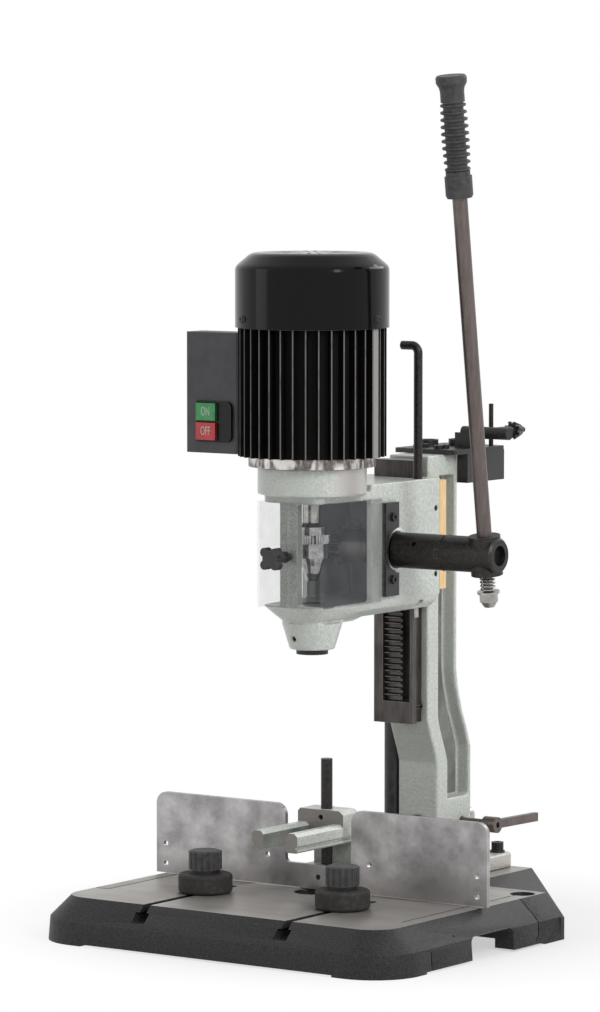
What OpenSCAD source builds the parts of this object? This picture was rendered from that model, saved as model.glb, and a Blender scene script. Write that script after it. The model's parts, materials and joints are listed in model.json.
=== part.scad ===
// Benchtop mortiser: base, column, sliding head with motor, feed lever, fence, hold-down and work rollers.
// Millimetres. X to the operator's right, Y to the back, Z up. The origin is midway between the two
// bench-bolt holes, on the bench. Drawing lengths below are counted from the spindle axis.

/* [Base] */
// Half width of the machined table
table_half_w = 200; // [185:1:220]
// Front edge of the table, in front of the spindle axis
table_front = 166; // [155:1:180]
// Back edge of the machined table, behind the spindle axis
table_back = 135; // [128:1:145]
// Height of the table above the bench
table_z = 46; // [44:1:54]
// Radius of the table's front corners
table_corner_r = 30; // [20:1:45]
// How far the bevelled sides flare out
bevel_out = 22; // [18:1:26]
// Height of the upright skirt under the bevel
skirt_z = 24; // [20:1:26]
// Thickness of the table plate
table_t = 11; // [10:1:15]
// Thickness of the side walls
base_wall = 9; // [8:1:14]
// Half width of the rear tongue that carries the column
tongue_half_w = 99; // [96:1:115]
// Back end of the tongue, behind the spindle axis
tongue_back = 266; // [265:1:280]
// Bench-bolt holes behind the spindle axis
bolt_setback = 113; // [105:1:116]
// Bench-bolt holes off the centre line
bolt_half_span = 185; // [180:1:186]
// Diameter of a bench-bolt hole
bolt_hole_d = 11; // [9:0.5:13]
// Diameter of the recess round a bench-bolt hole
bolt_recess_d = 26; // [22:1:28]
// Radius of the relief hole under the chisel
relief_r = 19; // [15:1:24]

/* [T-slots] */
// T-slots off the centre line
slot_x = 88; // [80:1:95]
// Width of a T-slot's mouth
slot_w = 9; // [8.6:0.1:10]
// Width of a T-slot's undercut
slot_under_w = 17; // [16:0.5:20]
// Back end of the T-slots, in front of the spindle axis
slot_end = 14; // [10:1:20]

/* [Column] */
// Half width of the column and its flanges
column_half_w = 25; // [24.9:0.1:25.1]
// Front of the upper column, behind the spindle axis
column_front = 177; // [177:1:178]
// Depth of the column
column_depth = 56; // [52:1:58]
// How far the lower column is set back
column_step = 18; // [14:1:20]
// Height of the column's top
column_top = 487; // [487:1:495]
// Thickness of the column's centre web
web_t = 18; // [12:1:22]
// Half width of the column's foot
foot_half_w = 78; // [74:1:84]
// Thickness of the foot
foot_t = 16; // [14:1:20]
// Column bolts off the centre line
foot_bolt_x = 65; // [60:1:68]

/* [Slide way] */
// Width of the way's front face
way_w = 49.5; // [48:0.1:49.6]
// Thickness of the way
way_t = 28; // [26:1:28]
// Bottom end of the way
way_bottom = 206; // [200:1:210]
// Top end of the way
way_top = 484; // [480:1:486]
// Width of the rack
rack_w = 20; // [18:1:22]
// Module of the rack and the gears
gear_module = 2; // [2:1:2]

/* [Head] */
// Half width of the head
head_half_w = 44; // [43:0.5:45]
// Half width of the head at its front
nose_half_w = 37; // [35:0.5:38]
// Front face of the head, in front of the spindle axis
head_front = 42; // [40:1:44]
// Back face of the head, behind the spindle axis
head_back = 171.5; // [170:0.5:172]
// Bottom face of the head
head_bottom = 329; // [326:1:332]
// Top face of the head
head_top = 466; // [464:1:468]
// Radius of the motor ring
ring_r = 56; // [54:0.5:57]
// Height of the motor ring's top
ring_top = 486.5; // [480:0.5:489]
// Width of the front pillar between the windows
pillar_w = 22; // [18:1:24]
// Travel of the head down the way
head_travel = 110; // [90:1:110]
// Radius of the chisel bushing
bushing_r = 16.4; // [15:0.2:17]
// Radius of the bushing's bore for the chisel shank
chisel_bore_r = 9.5; // [8:0.5:10]
// Bottom of the bushing
bushing_bottom = 293; // [288:1:294]

/* [Motor] */
// Radius over the cooling fins
fin_r = 76.3; // [74:0.1:76.6]
// Number of cooling fins
fin_count = 36; // [30:2:40]
// Height of the finned housing's top
fins_top = 628.3; // [610:0.1:640]
// Radius of the fan cover
fan_cover_r = 79; // [79:0.5:81]
// Height of the fan cover's top
fan_cover_top = 705; // [700:1:715]
// Size of the fan cover's bevelled shoulder
shoulder_r = 17; // [12:1:20]

/* [Switch box] */
// Left side of the switch box, off the spindle axis
box_left = 146; // [138:1:150]
// Depth of the switch box
box_depth = 30; // [26:1:34]
// Height of the switch box
box_h = 125; // [120:1:130]
// Travel of a push button
button_travel = 3; // [2:0.5:4]

/* [Feed] */
// Feed axis behind the spindle axis
feed_y = 88; // [88:1:88]
// Height of the feed axis
feed_z = 396; // [392:1:400]
// Radius of the feed hub
hub_r = 18.4; // [17:0.1:19]
// Outer end of the feed hub
hub_end = 172; // [168:1:180]
// Joint between the drive collar and the lever hub
dog_x = 107; // [100:1:110]
// Radius of the spigot inside the hub
spigot_r = 12; // [10:0.5:12.5]
// Lever off the centre line
lever_x = 155; // [153:1:155]
// Forward lean of the lever
lever_lean = 7.8; // [0:0.1:12]
// Radius of the lever rod
lever_r = 7.7; // [7:0.1:8.2]
// Length of the lever above the feed axis
lever_len = 493; // [470:1:520]
// Coils of the lever spring
spring_turns = 4; // [3:0.5:4]
// Wire diameter of the lever spring
spring_wire = 2; // [1.4:0.1:2]

/* [Guards] */
// Front face of the clear guards, in front of the spindle axis
guard_front = 44.6; // [44.6:0.1:46]
// Thickness of a clear guard
guard_t = 2; // [1.5:0.1:2]
// Bottom edge of the guards
guard_bottom = 343; // [343:1:346]
// Top edge of the guards
guard_top = 451; // [446:1:451]

/* [Fence] */
// Front face of the fence, behind the spindle axis
fence_y = 10.7; // [8:0.1:14]
// Half length of the fence
fence_half_l = 208; // [195:1:225]
// Thickness of the fence
fence_t = 5; // [4.5:0.5:8]
// Height of the fence's top
fence_top = 133; // [125:1:145]
// Half width of the notch for the hold-down
notch_half_w = 41.5; // [38:0.5:48]
// Radius of the fence's corners
fence_corner_r = 12.5; // [10:0.5:22]
// Radius of the fence's guide bar
bar_r = 10; // [8:0.5:11]
// Height of the fence's guide bar
bar_z = 92; // [90:1:92]
// Top of the hold-down's rod
hold_rod_top = 181.7; // [175:0.1:200]
// Radius of the hold-down's rod
hold_rod_r = 6; // [5:0.5:6.5]
// Length of the hold-down's prongs in front of its body
prong_l = 82; // [70:1:90]
// Gap between the prongs
prong_gap = 28; // [24:1:32]

/* [Rollers] */
// Radius of a work roller
roller_r = 28; // [24:0.5:30]
// Height of a work roller
roller_h = 19.8; // [18:0.2:24]
// Left roller in front of the spindle axis
roller_left_y = 66; // [50:1:80]
// Right roller in front of the spindle axis
roller_right_y = 72; // [50:1:80]
// Radius of a roller's knob
roller_knob_r = 17.2; // [14:0.1:18]

/* [Stops and tools] */
// Radius of the depth stop rod
stop_r = 4.6; // [4:0.1:5]
// Height of the depth stop rod's bend
stop_top = 605; // [590:1:620]
// Radius of the gas strut's cylinder
strut_r = 10; // [9:0.5:10]
// Width of the tool holder's cheeks beside the column
holder_cheek = 14; // [10:1:16]
// Length of the tool holder
holder_l = 74; // [70:1:80]

/* [Hidden] */
$fn = 64;

pale_green = [0.74, 0.79, 0.76];
textured_black = [0.16, 0.16, 0.18];
ground_steel = [0.60, 0.58, 0.58];
dark_steel = [0.23, 0.21, 0.20];
black = [0.08, 0.08, 0.08];
bright = [0.80, 0.81, 0.83];

run_gap = 0.05;          // radial clearance of a shaft in its bore
slide_gap = 0.2;         // gap between flat sliding faces
seat_gap = 0.3;          // gap between faces that pass each other
eps = 0.01;

way_front = column_front - way_t;
neck_half_w = way_w / 2 - 8;
lip_t = 6;               // straight edge of the way in front of its undercut
undercut_t = 10;         // depth over which the way narrows
groove_left = -13.5;
groove_right = 21;
groove_t = 13;
groove_bottom = way_bottom + 23;
groove_top = way_top - 44;
rack_bottom = groove_bottom + 1;
tooth_pitch = PI * gear_module;
addendum = 0.85 * gear_module;
dedendum = 1.2 * gear_module;
rack_pitch_y = way_front + 4;
feed_teeth = 17;
step_small_teeth = 8;
step_large_teeth = 28;
pinion_teeth = 12;
pinion_y = rack_pitch_y - pinion_teeth * gear_module / 2;
feed_reach = (feed_teeth + step_small_teeth) * gear_module / 2;
pinion_reach = (step_large_teeth + pinion_teeth) * gear_module / 2;
gear_span = pinion_y - feed_y;
step_dy = (feed_reach ^ 2 - pinion_reach ^ 2 + gear_span ^ 2) / (2 * gear_span);
step_dz = sqrt(feed_reach ^ 2 - step_dy ^ 2);
step_y = feed_y + step_dy;
step_z = feed_z + step_dz;
to_step = atan2(step_dz, step_dy);
from_step = atan2(-step_dz, gear_span - step_dy);
step_small_phase = mesh_phase(feed_teeth, 0, step_small_teeth, to_step);
step_large_phase = mesh_phase(pinion_teeth, 0, step_large_teeth, from_step + 180);
gear_left = -29;
gear_w = 13;
gear_wall = -29.5;       // inner face of the head's left wall
case_depth = -36;        // inner face of the gear case in that wall
case_gear_left = -42;
journal_r = 8;
pin_r = 4;
pinion_neck_r = 6;
feed_r = feed_teeth * gear_module / 2;
step_small_r = step_small_teeth * gear_module / 2;
step_large_r = step_large_teeth * gear_module / 2;
pinion_r = pinion_teeth * gear_module / 2;
gear_cover_t = 2;
tooth_room = addendum + 0.6;
gib_t = 3;
gib_bottom = head_bottom - 10;
gib_top = head_top - 2;
strut_x = -36.5;
strut_y = column_front + 27;
strut_rod_r = 4;
strut_flange = 1.2;
strut_lug_z = head_bottom + 23;
strut_lug_h = 10;
strut_top = strut_lug_z - head_travel - 16;
foot_back = column_front + column_depth + column_step + 13;
foot_front = foot_back - 78;
foot_top = table_z + foot_t;
foot_bolt_back = foot_back - 13;
foot_bolt_front = foot_front + 13;
bolt_r = 4;
bolt_head_r = 6.5;
bolt_head_h = 9;
washer_r = 8;
washer_t = 2;
lock_y = column_front + 67;
lock_x = 63;
lock_screw_r = 5;
chamber_bottom = head_bottom + 16;
chamber_top = head_top - 16;
chamber_back = 112;
wall_t = 7;
ring_bottom = head_top - 8;
bell_r = 65.5;
bell_top = ring_top + 10.3;
shaft_r = 8;
cover_t = 2;
skirt_out = 2;           // flare of the skirt below the bevel
wing_in = 3;             // how far the skirt's back end stays in front of the table's
foot_pad = 44;           // length of the corner feet
foot_relief = 2;         // height of the skirt's relief between the feet
hand_hold_z = 25;
spigot_h = 13;           // height of the housing's ring inside the fan cover
cover_screw_z = 9.5;     // height of the fan cover's screws above the fins
fin_root_r = fin_r - 9;
stator_r = fin_root_r - 4;
rotor_r = 34;
chuck_bottom = head_bottom + 39;
box_front = 20;
box_right = fan_cover_r + seat_gap;
box_top = fins_top - 7.3;
box_wall = 3;
plate_t = 3;
button_w = 24.5;
button_h = 18;
button_x = 29.7 - box_left;
on_z = box_top - 82;
off_z = on_z - button_h - 2.2;
hub_gap = 0.3;
boss_r = 21.5;
boss_t = 2.5;
lever_foot = 55;         // length of the lever below the feed axis
cross_half = 20.5;       // half height of the cross boss on the hub
cross_r = 16.4;
stud_r = 5;              // lower end of the lever, inside its spring
spring_r = 7.4;
spring_len = 17;
strip_front = 63;
strip_back = 87;
strip_t = 5;
guard_bead_r = 1.5;      // hinge bead along a guard's back edge
strip_bottom = guard_bottom + 6;
strip_top = guard_top - 5;
strip_screw_r = 2;
strip_screw_y = strip_front + 13;
strip_screw_heights = [strip_bottom + 17, strip_top - 15];
fence_gap = 1.2;         // gap under the fence
bracket_half_w = 28;
bracket_foot_z = 70;
hold_y = fence_y + fence_t + 10.6;
fork_half_w = 28.5;
fork_front = fence_y + 4.3;
fork_back = hold_y + 16.7;
fork_bottom = 107;
fork_top = 129.6;
prong_z = 96;
prong_h = 20;
upright_front = fork_back + 0.5;
upright_back = upright_front + 12.5;
bar_end = column_front + column_depth + column_step + 40;
roller_z = table_z + 0.3;
roller_stud_r = 4;
knob_z = roller_z + roller_h + 4.4;
knob_h = 19.6;
stop_x = 36;
stop_y = 141;
stop_bottom = 347;
plate_z = column_top;
holder_plate_t = 5;
holder_front = column_front + 30;
holder_back = column_front + column_depth - 3 + holder_l;
holder_drop = 31;
collar_h = 7;
key_r = 6.5;
key_half_l = 29;
key_y = holder_front + 43;
key_z = plate_z + holder_plate_t + collar_h + key_r + 3;
key_x = 50;
small_key_r = 2.5;

// ---------------------------------------------------------------- helpers

// Places what is drawn from the spindle axis into the part's frame
module from_spindle() translate([0, -bolt_setback, 0]) children();

// Box between two corners
module block(low, high) translate(low) cube(high - low);

// Cylinder along X from x0 to x1
module rod_x(r, x0, x1, y, z) translate([x0, y, z]) rotate([0, 90, 0]) cylinder(r = r, h = x1 - x0);

// Cylinder along Y from y0 to y1
module rod_y(r, y0, y1, x, z) translate([x, y0, z]) rotate([-90, 0, 0]) cylinder(r = r, h = y1 - y0);

// Cylinder along Z from z0 to z1
module rod_z(r, z0, z1, x = 0, y = 0) translate([x, y, z0]) cylinder(r = r, h = z1 - z0);

// Socket-head screw: head on +Z above the origin, shank below
module cap_screw(r, l, head_r, head_h) {
    difference() {
        union() {
            translate([0, 0, -l]) cylinder(r = r, h = l + eps);
            cylinder(r = head_r, h = head_h);
        }
        translate([0, 0, head_h * 0.45]) cylinder(r = head_r * 0.55, h = head_h, $fn = 6);
    }
}

// Rectangle from x0 to x1 and y0 to y1 with round corners
module round_rect(x0, x1, y0, y1, r) {
    translate([x0 + r, y0]) square([x1 - x0 - 2 * r, y1 - y0]);
    translate([x0, y0 + r]) square([x1 - x0, y1 - y0 - 2 * r]);
    for (x = [x0 + r, x1 - r], y = [y0 + r, y1 - r]) translate([x, y]) circle(r = r);
}

// Corners of the table's or its skirt's outline, grown by out
module table_plate(out, back, z) translate([0, 0, z]) linear_extrude(eps) for (s = [-1, 1]) {
    translate([s * (table_half_w - table_corner_r), table_corner_r - table_front])
        circle(r = table_corner_r + out, $fn = 48);
    translate([s * (table_half_w + out) - (s + 1), back - 2]) square(2);
}

// Outline of a spur gear with straight flanks
function gear_outline(n) = let (rp = n * gear_module / 2, step = 360 / n) [
    for (i = [0:n - 1], p = [[-0.31, -dedendum], [-0.19, 0], [-0.085, addendum],
                             [0.085, addendum], [0.19, 0], [0.31, -dedendum]])
        let (a = (i + p[0]) * step, r = rp + p[1]) [r * cos(a), r * sin(a)]
];

// Phase at which a gear of n2 teeth meshes with one of n1 teeth, seen along the line from the first to it
function mesh_phase(n1, phase1, n2, line) = (0.5 - (phase1 - line) * n1 / 360 + (line + 180) * n2 / 360) * 360 / n2;

// Spur gear along X from x0 to x1 with its first tooth turned from +Y by phase
module gear(n, x0, x1, y, z, phase)
    translate([x0, y, z]) rotate([90, 0, 90]) rotate([0, 0, phase]) linear_extrude(x1 - x0)
        polygon(gear_outline(n));

// ---------------------------------------------------------------- base

module base_solid() {
    hull() {
        table_plate(0, table_back, table_z - eps);
        table_plate(bevel_out, table_back - wing_in, skirt_z);
        table_plate(bevel_out + skirt_out, table_back - wing_in, 0);
    }
    hull() {
        block([-tongue_half_w, 0, table_z - 1], [tongue_half_w, tongue_back, table_z]);
        block([-tongue_half_w - 9, 0, 0], [tongue_half_w + 9, tongue_back + 5, skirt_z]);
    }
    for (s = [0, 1]) mirror([s, 0, 0]) rear_corner();
}

// Corner behind the table that slopes down from the tongue to the side
module rear_corner() {
    side = table_half_w + bevel_out + skirt_out;
    hull() {
        block([tongue_half_w - 2, table_back - 9, 0], [tongue_half_w, tongue_back, table_z]);
        block([tongue_half_w - 2, table_back, 0], [tongue_half_w + 9, tongue_back + 5, skirt_z]);
        block([side - 4, table_back - 9, 0], [side, table_back - wing_in, skirt_z - 1]);
    }
}

module base_hollows() {
    roof = table_z - table_t;
    rib = slot_under_w / 2 + 6;
    block([rib - slot_x, -table_front, -1], [slot_x - rib, table_back - base_wall, roof]);
    block([base_wall - tongue_half_w, table_back, -1],
        [tongue_half_w - base_wall, foot_bolt_front - 12, roof]);
    block([base_wall - foot_bolt_x + 6, table_back, -1],
        [foot_bolt_x - base_wall - 6, tongue_back - base_wall, roof]);
    for (s = [0, 1]) mirror([s, 0, 0]) {
        block([slot_x + rib, 20 - table_front, -1],
            [table_half_w, bolt_setback - bolt_recess_d / 2 - 5, roof]);
        block([tongue_half_w + 12, table_back + 8, -1], [tongue_half_w + 56, table_back + 51, skirt_z - 2]);
    }
}

// T-slot open at the front edge
module t_slot(x) {
    block([x - slot_w / 2, -table_front - bevel_out - 9, table_z - 8],
        [x + slot_w / 2, -slot_end - slot_w / 2, table_z + 1]);
    rod_z(slot_w / 2, table_z - 8, table_z + 1, x, -slot_end - slot_w / 2);
    block([x - slot_under_w / 2, -table_front - bevel_out - 9, table_z - 17],
        [x + slot_under_w / 2, -slot_end, table_z - 7]);
}

// Fine machined line beside the table's edge
module edge_line(x) block([x - 1, -106, table_z - 1.2], [x + 1, table_back - 20, table_z + 1]);

// Contour line on the side, as a narrow groove
module side_contour() {
    path = [[83, table_z + 1], [85, 31], [84, skirt_z - 3], [83, 11], [78, 5], [69, -1]];
    rotate([90, 0, 90]) linear_extrude(table_half_w + bevel_out + skirt_out + 1)
        polygon(concat(path, [for (i = [len(path) - 1:-1:0]) [path[i][0] + 2.4, path[i][1] + (i < 4 ? 0 : 0.8)]]));
}

module base_casting() color(textured_black) from_spindle() difference() {
    base_solid();
    base_hollows();
    for (s = [-1, 1]) {
        t_slot(s * slot_x);
        edge_line(s * (table_half_w - 17));
        rod_z(bolt_hole_d / 2, -1, table_z + 1, s * bolt_half_span, bolt_setback);
        rod_z(bolt_recess_d / 2, table_z - 9, table_z + 1, s * bolt_half_span, bolt_setback);
        for (y = [foot_bolt_front, foot_bolt_back])
            rod_z(bolt_r, table_z - 24, table_z + 1, s * foot_bolt_x, y);
    }
    block([-table_half_w - 1, -107, table_z - 1.2], [-table_half_w + 17, -105, table_z + 1]);
    block([foot_pad - table_half_w, -table_front - bevel_out - 9, -1],
        [table_half_w - foot_pad, 30 - table_front, foot_relief]);
    rod_z(relief_r, -1, table_z + 1);
    for (s = [0, 1]) mirror([s, 0, 0]) {
        hand_hold();
        block([table_half_w + bevel_out - 1, -113.5, -1], [table_half_w + bevel_out + 9, -111.5, skirt_z - 3]);
        rod_x(1.3, table_half_w + bevel_out * 0.55, table_half_w + bevel_out + 9, -64, 29.5);
        block([table_half_w - 30, foot_pad - table_front, -1], [table_half_w + bevel_out + 9, 96, foot_relief]);
        difference() {
            side_contour();
            base_inner_block();
        }
    }
}

// Opening in the side wall that a hand lifts the base by
module hand_hold() {
    inner = table_half_w - 2;
    outer = table_half_w + bevel_out + 9;
    low_y = -39.5;
    high_y = 38;
    r = 6;
    block([inner, low_y, -1], [outer, high_y, hand_hold_z - r]);
    block([inner, low_y + r, -1], [outer, high_y - r, hand_hold_z]);
    for (y = [low_y + r, high_y - r]) rod_x(r, inner, outer, y, hand_hold_z - r);
}

// Keeps the contour groove shallow
module base_inner_block() hull() {
    block([0, 0, -2], [table_half_w + bevel_out + 0.4, 120, 1]);
    block([0, 0, skirt_z], [table_half_w + bevel_out - 2.2, 120, skirt_z + 1]);
    block([0, 0, table_z + 2], [table_half_w - 3.6, 120, table_z + 3]);
}

// ---------------------------------------------------------------- column and way

// Side outline of the column, grown by g at the front and the back
function column_side(front_in, back_in, low, high) = [
    [column_front + column_step + front_in, low],
    [column_front + column_step + front_in, 160],
    [column_front + column_step * 0.78 + front_in, 172],
    [column_front + column_step * 0.22 + front_in, 196],
    [column_front + front_in, 208],
    [column_front + front_in, high],
    [column_front + column_depth - back_in, high],
    [column_front + column_depth - back_in, 258],
    [column_front + column_depth + 3 - back_in, 240],
    [column_front + column_depth + column_step * 0.6 - back_in, 214],
    [column_front + column_depth + column_step * 1.2 - back_in, 190],
    [column_front + column_depth + column_step * 1.55 - back_in, 172],
    [column_front + column_depth + column_step * 1.55 - back_in, low]
];

// Plate standing in the YZ plane from x0 to x1
module side_plate(outline, x0, x1)
    translate([x0, 0, 0]) rotate([90, 0, 90]) linear_extrude(x1 - x0) polygon(outline);

module column_casting() color(pale_green) from_spindle() difference() {
    union() {
        side_plate(column_side(0, 0, table_z + 8, column_top), -column_half_w, column_half_w);
        translate([0, 0, table_z]) linear_extrude(foot_t)
            round_rect(-foot_half_w, foot_half_w, foot_front, foot_back, 9);
    }
    for (s = [0, 1]) mirror([s, 0, 0]) {
        side_plate(column_side(21, 5, 120, column_top - 22), web_t / 2, column_half_w + 1);
        for (y = [foot_bolt_front, foot_bolt_back])
            rod_z(bolt_r + run_gap, table_z - 1, foot_top + 1, foot_bolt_x, y);
        for (z = way_bolt_heights) rod_y(3.5, column_front - 1, column_front + 22, way_bolt_x, z);
        for (y = holder_screw_ys) rod_z(3, column_top - 12, column_top + 1, holder_screw_x, y);
    }
    rod_y(bar_r + run_gap, 0, bar_end, 0, bar_z);
    rod_x(lock_screw_r + run_gap, 0, column_half_w + 1, lock_y, bar_z);
}

way_bolt_x = 14;
way_bolt_heights = [222, 440];
holder_screw_x = 13;
holder_screw_ys = [column_front + 37, column_front + 49];

module column_bolts() color(black) from_spindle()
    for (x = [-foot_bolt_x, foot_bolt_x], y = [foot_bolt_front, foot_bolt_back]) {
        difference() {
            rod_z(washer_r, foot_top, foot_top + washer_t, x, y);
            rod_z(bolt_r + run_gap, foot_top - 1, foot_top + washer_t + 1, x, y);
        }
        translate([x, y, foot_top + washer_t])
            cap_screw(bolt_r - run_gap, foot_t + washer_t + 18, bolt_head_r, bolt_head_h);
    }

// Cross-section of the way, from its front edge back
function way_section(grow) = [
    [-way_w / 2 - grow, way_front - grow],
    [way_w / 2 + grow, way_front - grow],
    [way_w / 2 + grow, way_front + lip_t],
    [neck_half_w + grow, way_front + lip_t + undercut_t],
    [neck_half_w + grow, column_front],
    [-neck_half_w - grow, column_front],
    [-neck_half_w - grow, way_front + lip_t + undercut_t],
    [-way_w / 2 - grow, way_front + lip_t]
];

module slide_way() color(dark_steel) from_spindle() difference() {
    translate([0, 0, way_bottom]) linear_extrude(way_top - way_bottom) polygon(way_section(0));
    block([groove_left, way_front - 1, groove_bottom], [groove_right, way_front + groove_t, groove_top]);
    for (x = [-way_bolt_x, way_bolt_x], z = way_bolt_heights) rod_y(3, column_front - 10, column_front + 1, x, z);
}

module frame_screws() color(black) from_spindle() {
    for (x = [-way_bolt_x, way_bolt_x], z = way_bolt_heights)
        translate([x, column_front + 21, z]) rotate([-90, 0, 0]) cap_screw(2.95, 30, 5, 5);
    for (x = [-holder_screw_x, holder_screw_x], y = holder_screw_ys)
        translate([x, y, column_top + holder_plate_t]) cap_screw(2.95, 16, 5, 4);
}

// Side outline of the rack: its back, then the teeth
function rack_outline() = let (
    first = ceil((rack_bottom + 4 - feed_z) / tooth_pitch - 0.5),
    last = floor((groove_top - 4 - feed_z) / tooth_pitch - 0.5)
) concat(
    [[way_front + groove_t, groove_top - 1], [way_front + groove_t, rack_bottom],
        [rack_pitch_y + dedendum, rack_bottom]],
    [for (i = [first:last], p = [[-0.31, dedendum], [-0.19, 0], [-0.085, -addendum],
                                 [0.085, -addendum], [0.19, 0], [0.31, dedendum]])
        [rack_pitch_y + p[1], feed_z + (i + 0.5 + p[0]) * tooth_pitch]],
    [[rack_pitch_y + dedendum, groove_top - 1]]
);

module rack() color(dark_steel) from_spindle()
    side_plate(rack_outline(), groove_left + 0.5, groove_left + 0.5 + rack_w);

module strut_cylinder() color(black) from_spindle() difference() {
    union() {
        rod_z(strut_r, foot_top + 8, strut_top, strut_x, strut_y);
        rod_z(strut_r + strut_flange, foot_top, foot_top + 8, strut_x, strut_y);
    }
    rod_z(strut_rod_r + run_gap, foot_top + 12, strut_top + 1, strut_x, strut_y);
}

module tool_holder() color(black) from_spindle() difference() {
    union() {
        translate([0, 0, plate_z]) linear_extrude(holder_plate_t)
            round_rect(-column_half_w - holder_cheek, column_half_w + holder_cheek, holder_front, holder_back, 4);
        for (s = [0, 1]) mirror([s, 0, 0])
            block([column_half_w + seat_gap, holder_front + 24, plate_z - holder_drop],
                [column_half_w + holder_cheek, holder_back - 2, plate_z + 1]);
        for (p = holder_holes) rod_z(11, plate_z, plate_z + holder_plate_t + collar_h, p[0], p[1]);
        block([16, key_y - 9, plate_z], [column_half_w + holder_cheek, key_y + 9, key_z]);
    }
    for (p = holder_holes) rod_z(8, plate_z - 1, plate_z + holder_plate_t + collar_h + 1, p[0], p[1]);
    rod_x(key_r + run_gap, 10, 60, key_y, key_z);
    rod_z(small_key_r + run_gap, plate_z - holder_drop + 4, plate_z + 20, small_key_x, small_key_y);
    for (x = [-holder_screw_x, holder_screw_x], y = holder_screw_ys)
        rod_z(3, plate_z - 1, plate_z + holder_plate_t + 1, x, y);
}

holder_holes = [[-24, key_y], [-2, key_y + 26]];
small_key_x = 30;
small_key_y = key_y + 40;

// ---------------------------------------------------------------- fence and hold-down

fence_bottom = table_z + fence_gap;
notch_z = fence_bottom + 25.3;
fence_hole_x = fence_half_l - 12;
fence_screw_z = fence_bottom + 12.5;
fence_screw_r = 2;
fence_screw_head_r = 3;
fence_dowel_r = 3;
fence_dowel_x = 20;

// Front outline of the fence, in X and Z
module fence_outline() difference() {
    union() {
        round_rect(-fence_half_l, fence_half_l, fence_bottom, fence_top, fence_corner_r);
        translate([-fence_half_l, fence_bottom]) square([2 * fence_half_l, fence_corner_r + 1]);
    }
    translate([-notch_half_w, notch_z + 5]) square([2 * notch_half_w, fence_top]);
    translate([-notch_half_w + 5, notch_z]) square([2 * notch_half_w - 10, fence_top]);
    for (s = [-1, 1]) {
        translate([s * (notch_half_w - 5), notch_z + 5]) circle(r = 5);
        difference() {
            translate([s * notch_half_w - (s < 0 ? fence_corner_r : 0), fence_top - fence_corner_r])
                square([fence_corner_r, fence_corner_r + 1]);
            translate([s * (notch_half_w + fence_corner_r), fence_top - fence_corner_r]) circle(r = fence_corner_r);
        }
    }
}

module fence_plate() color(ground_steel) from_spindle() difference() {
    translate([0, fence_y + fence_t, 0]) rotate([90, 0, 0]) linear_extrude(fence_t) fence_outline();
    for (s = [-1, 1]) {
        for (z = [fence_bottom + 10, fence_bottom + 31]) rod_y(3, 0, 60, s * fence_hole_x, z);
        rod_y(3, 0, 60, s * 64, fence_bottom + 31);
    }
    rod_y(fence_screw_head_r + run_gap, 0, fence_y + 3, 0, fence_screw_z);
    rod_y(fence_screw_r + run_gap, 0, 60, 0, fence_screw_z);
    for (s = [-1, 1]) rod_y(fence_dowel_r, fence_y + 2, 60, s * fence_dowel_x, fence_screw_z);
}

module fence_bracket() color(pale_green) from_spindle() difference() {
    union() {
        block([-bracket_half_w, fence_y + fence_t, fence_bottom], [bracket_half_w, upright_back, bracket_foot_z]);
        block([-bracket_half_w, upright_front, fence_bottom],
            [bracket_half_w, upright_back, bar_z + bar_r + 4]);
    }
    rod_z(hold_rod_r, fence_bottom + 3, bracket_foot_z + 1, 0, hold_y);
    rod_y(bar_r, upright_front + 3, upright_back + 1, 0, bar_z);
    rod_y(fence_screw_r, fence_y, fence_y + fence_t + 4, 0, fence_screw_z);
    for (s = [-1, 1]) rod_y(fence_dowel_r, fence_y, fence_y + fence_t + 12, s * fence_dowel_x, fence_screw_z);
}

// One screw through the fence, and two pressed dowels behind its face
module fence_screws() color(black) from_spindle() {
    translate([0, fence_y + 3, fence_screw_z]) rotate([90, 0, 0])
        cap_screw(fence_screw_r - run_gap, fence_t, fence_screw_head_r, 2);
    for (s = [-1, 1]) rod_y(fence_dowel_r, fence_y + 2, fence_y + fence_t + 12, s * fence_dowel_x, fence_screw_z);
}

module fence_bar() color(dark_steel) from_spindle() rod_y(bar_r, upright_front + 3, bar_end, 0, bar_z);

module hold_down_rod() color(black) from_spindle() rod_z(hold_rod_r, fence_bottom + 3, hold_rod_top, 0, hold_y);

module lock_lever() color(dark_steel) from_spindle() {
    rod_x(lock_screw_r, bar_r + 0.4, lock_x + 1, lock_y, bar_z);
    difference() {
        rod_x(8.5, lock_x - 9, lock_x + 7, lock_y, bar_z);
        rod_x(3.5, lock_x + 3, lock_x + 8, lock_y, bar_z, $fn = 6);
    }
    translate([lock_x, lock_y, bar_z]) rotate([-1, 0, 0]) translate([-3, 6, -4.6]) cube([6, 80, 9.2]);
}

// Section of a prong, in X and Z, from its inner lower corner
prong_section = [[1.5, 0], [12.9, 0], [14.5, 1.6], [14.5, 3.4], [12, 4], [12, 6.6], [14.5, 7.2],
                 [14.5, prong_h - 3.5], [11, prong_h], [3.5, prong_h], [0, prong_h - 3.5], [0, 1.5]];

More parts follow.
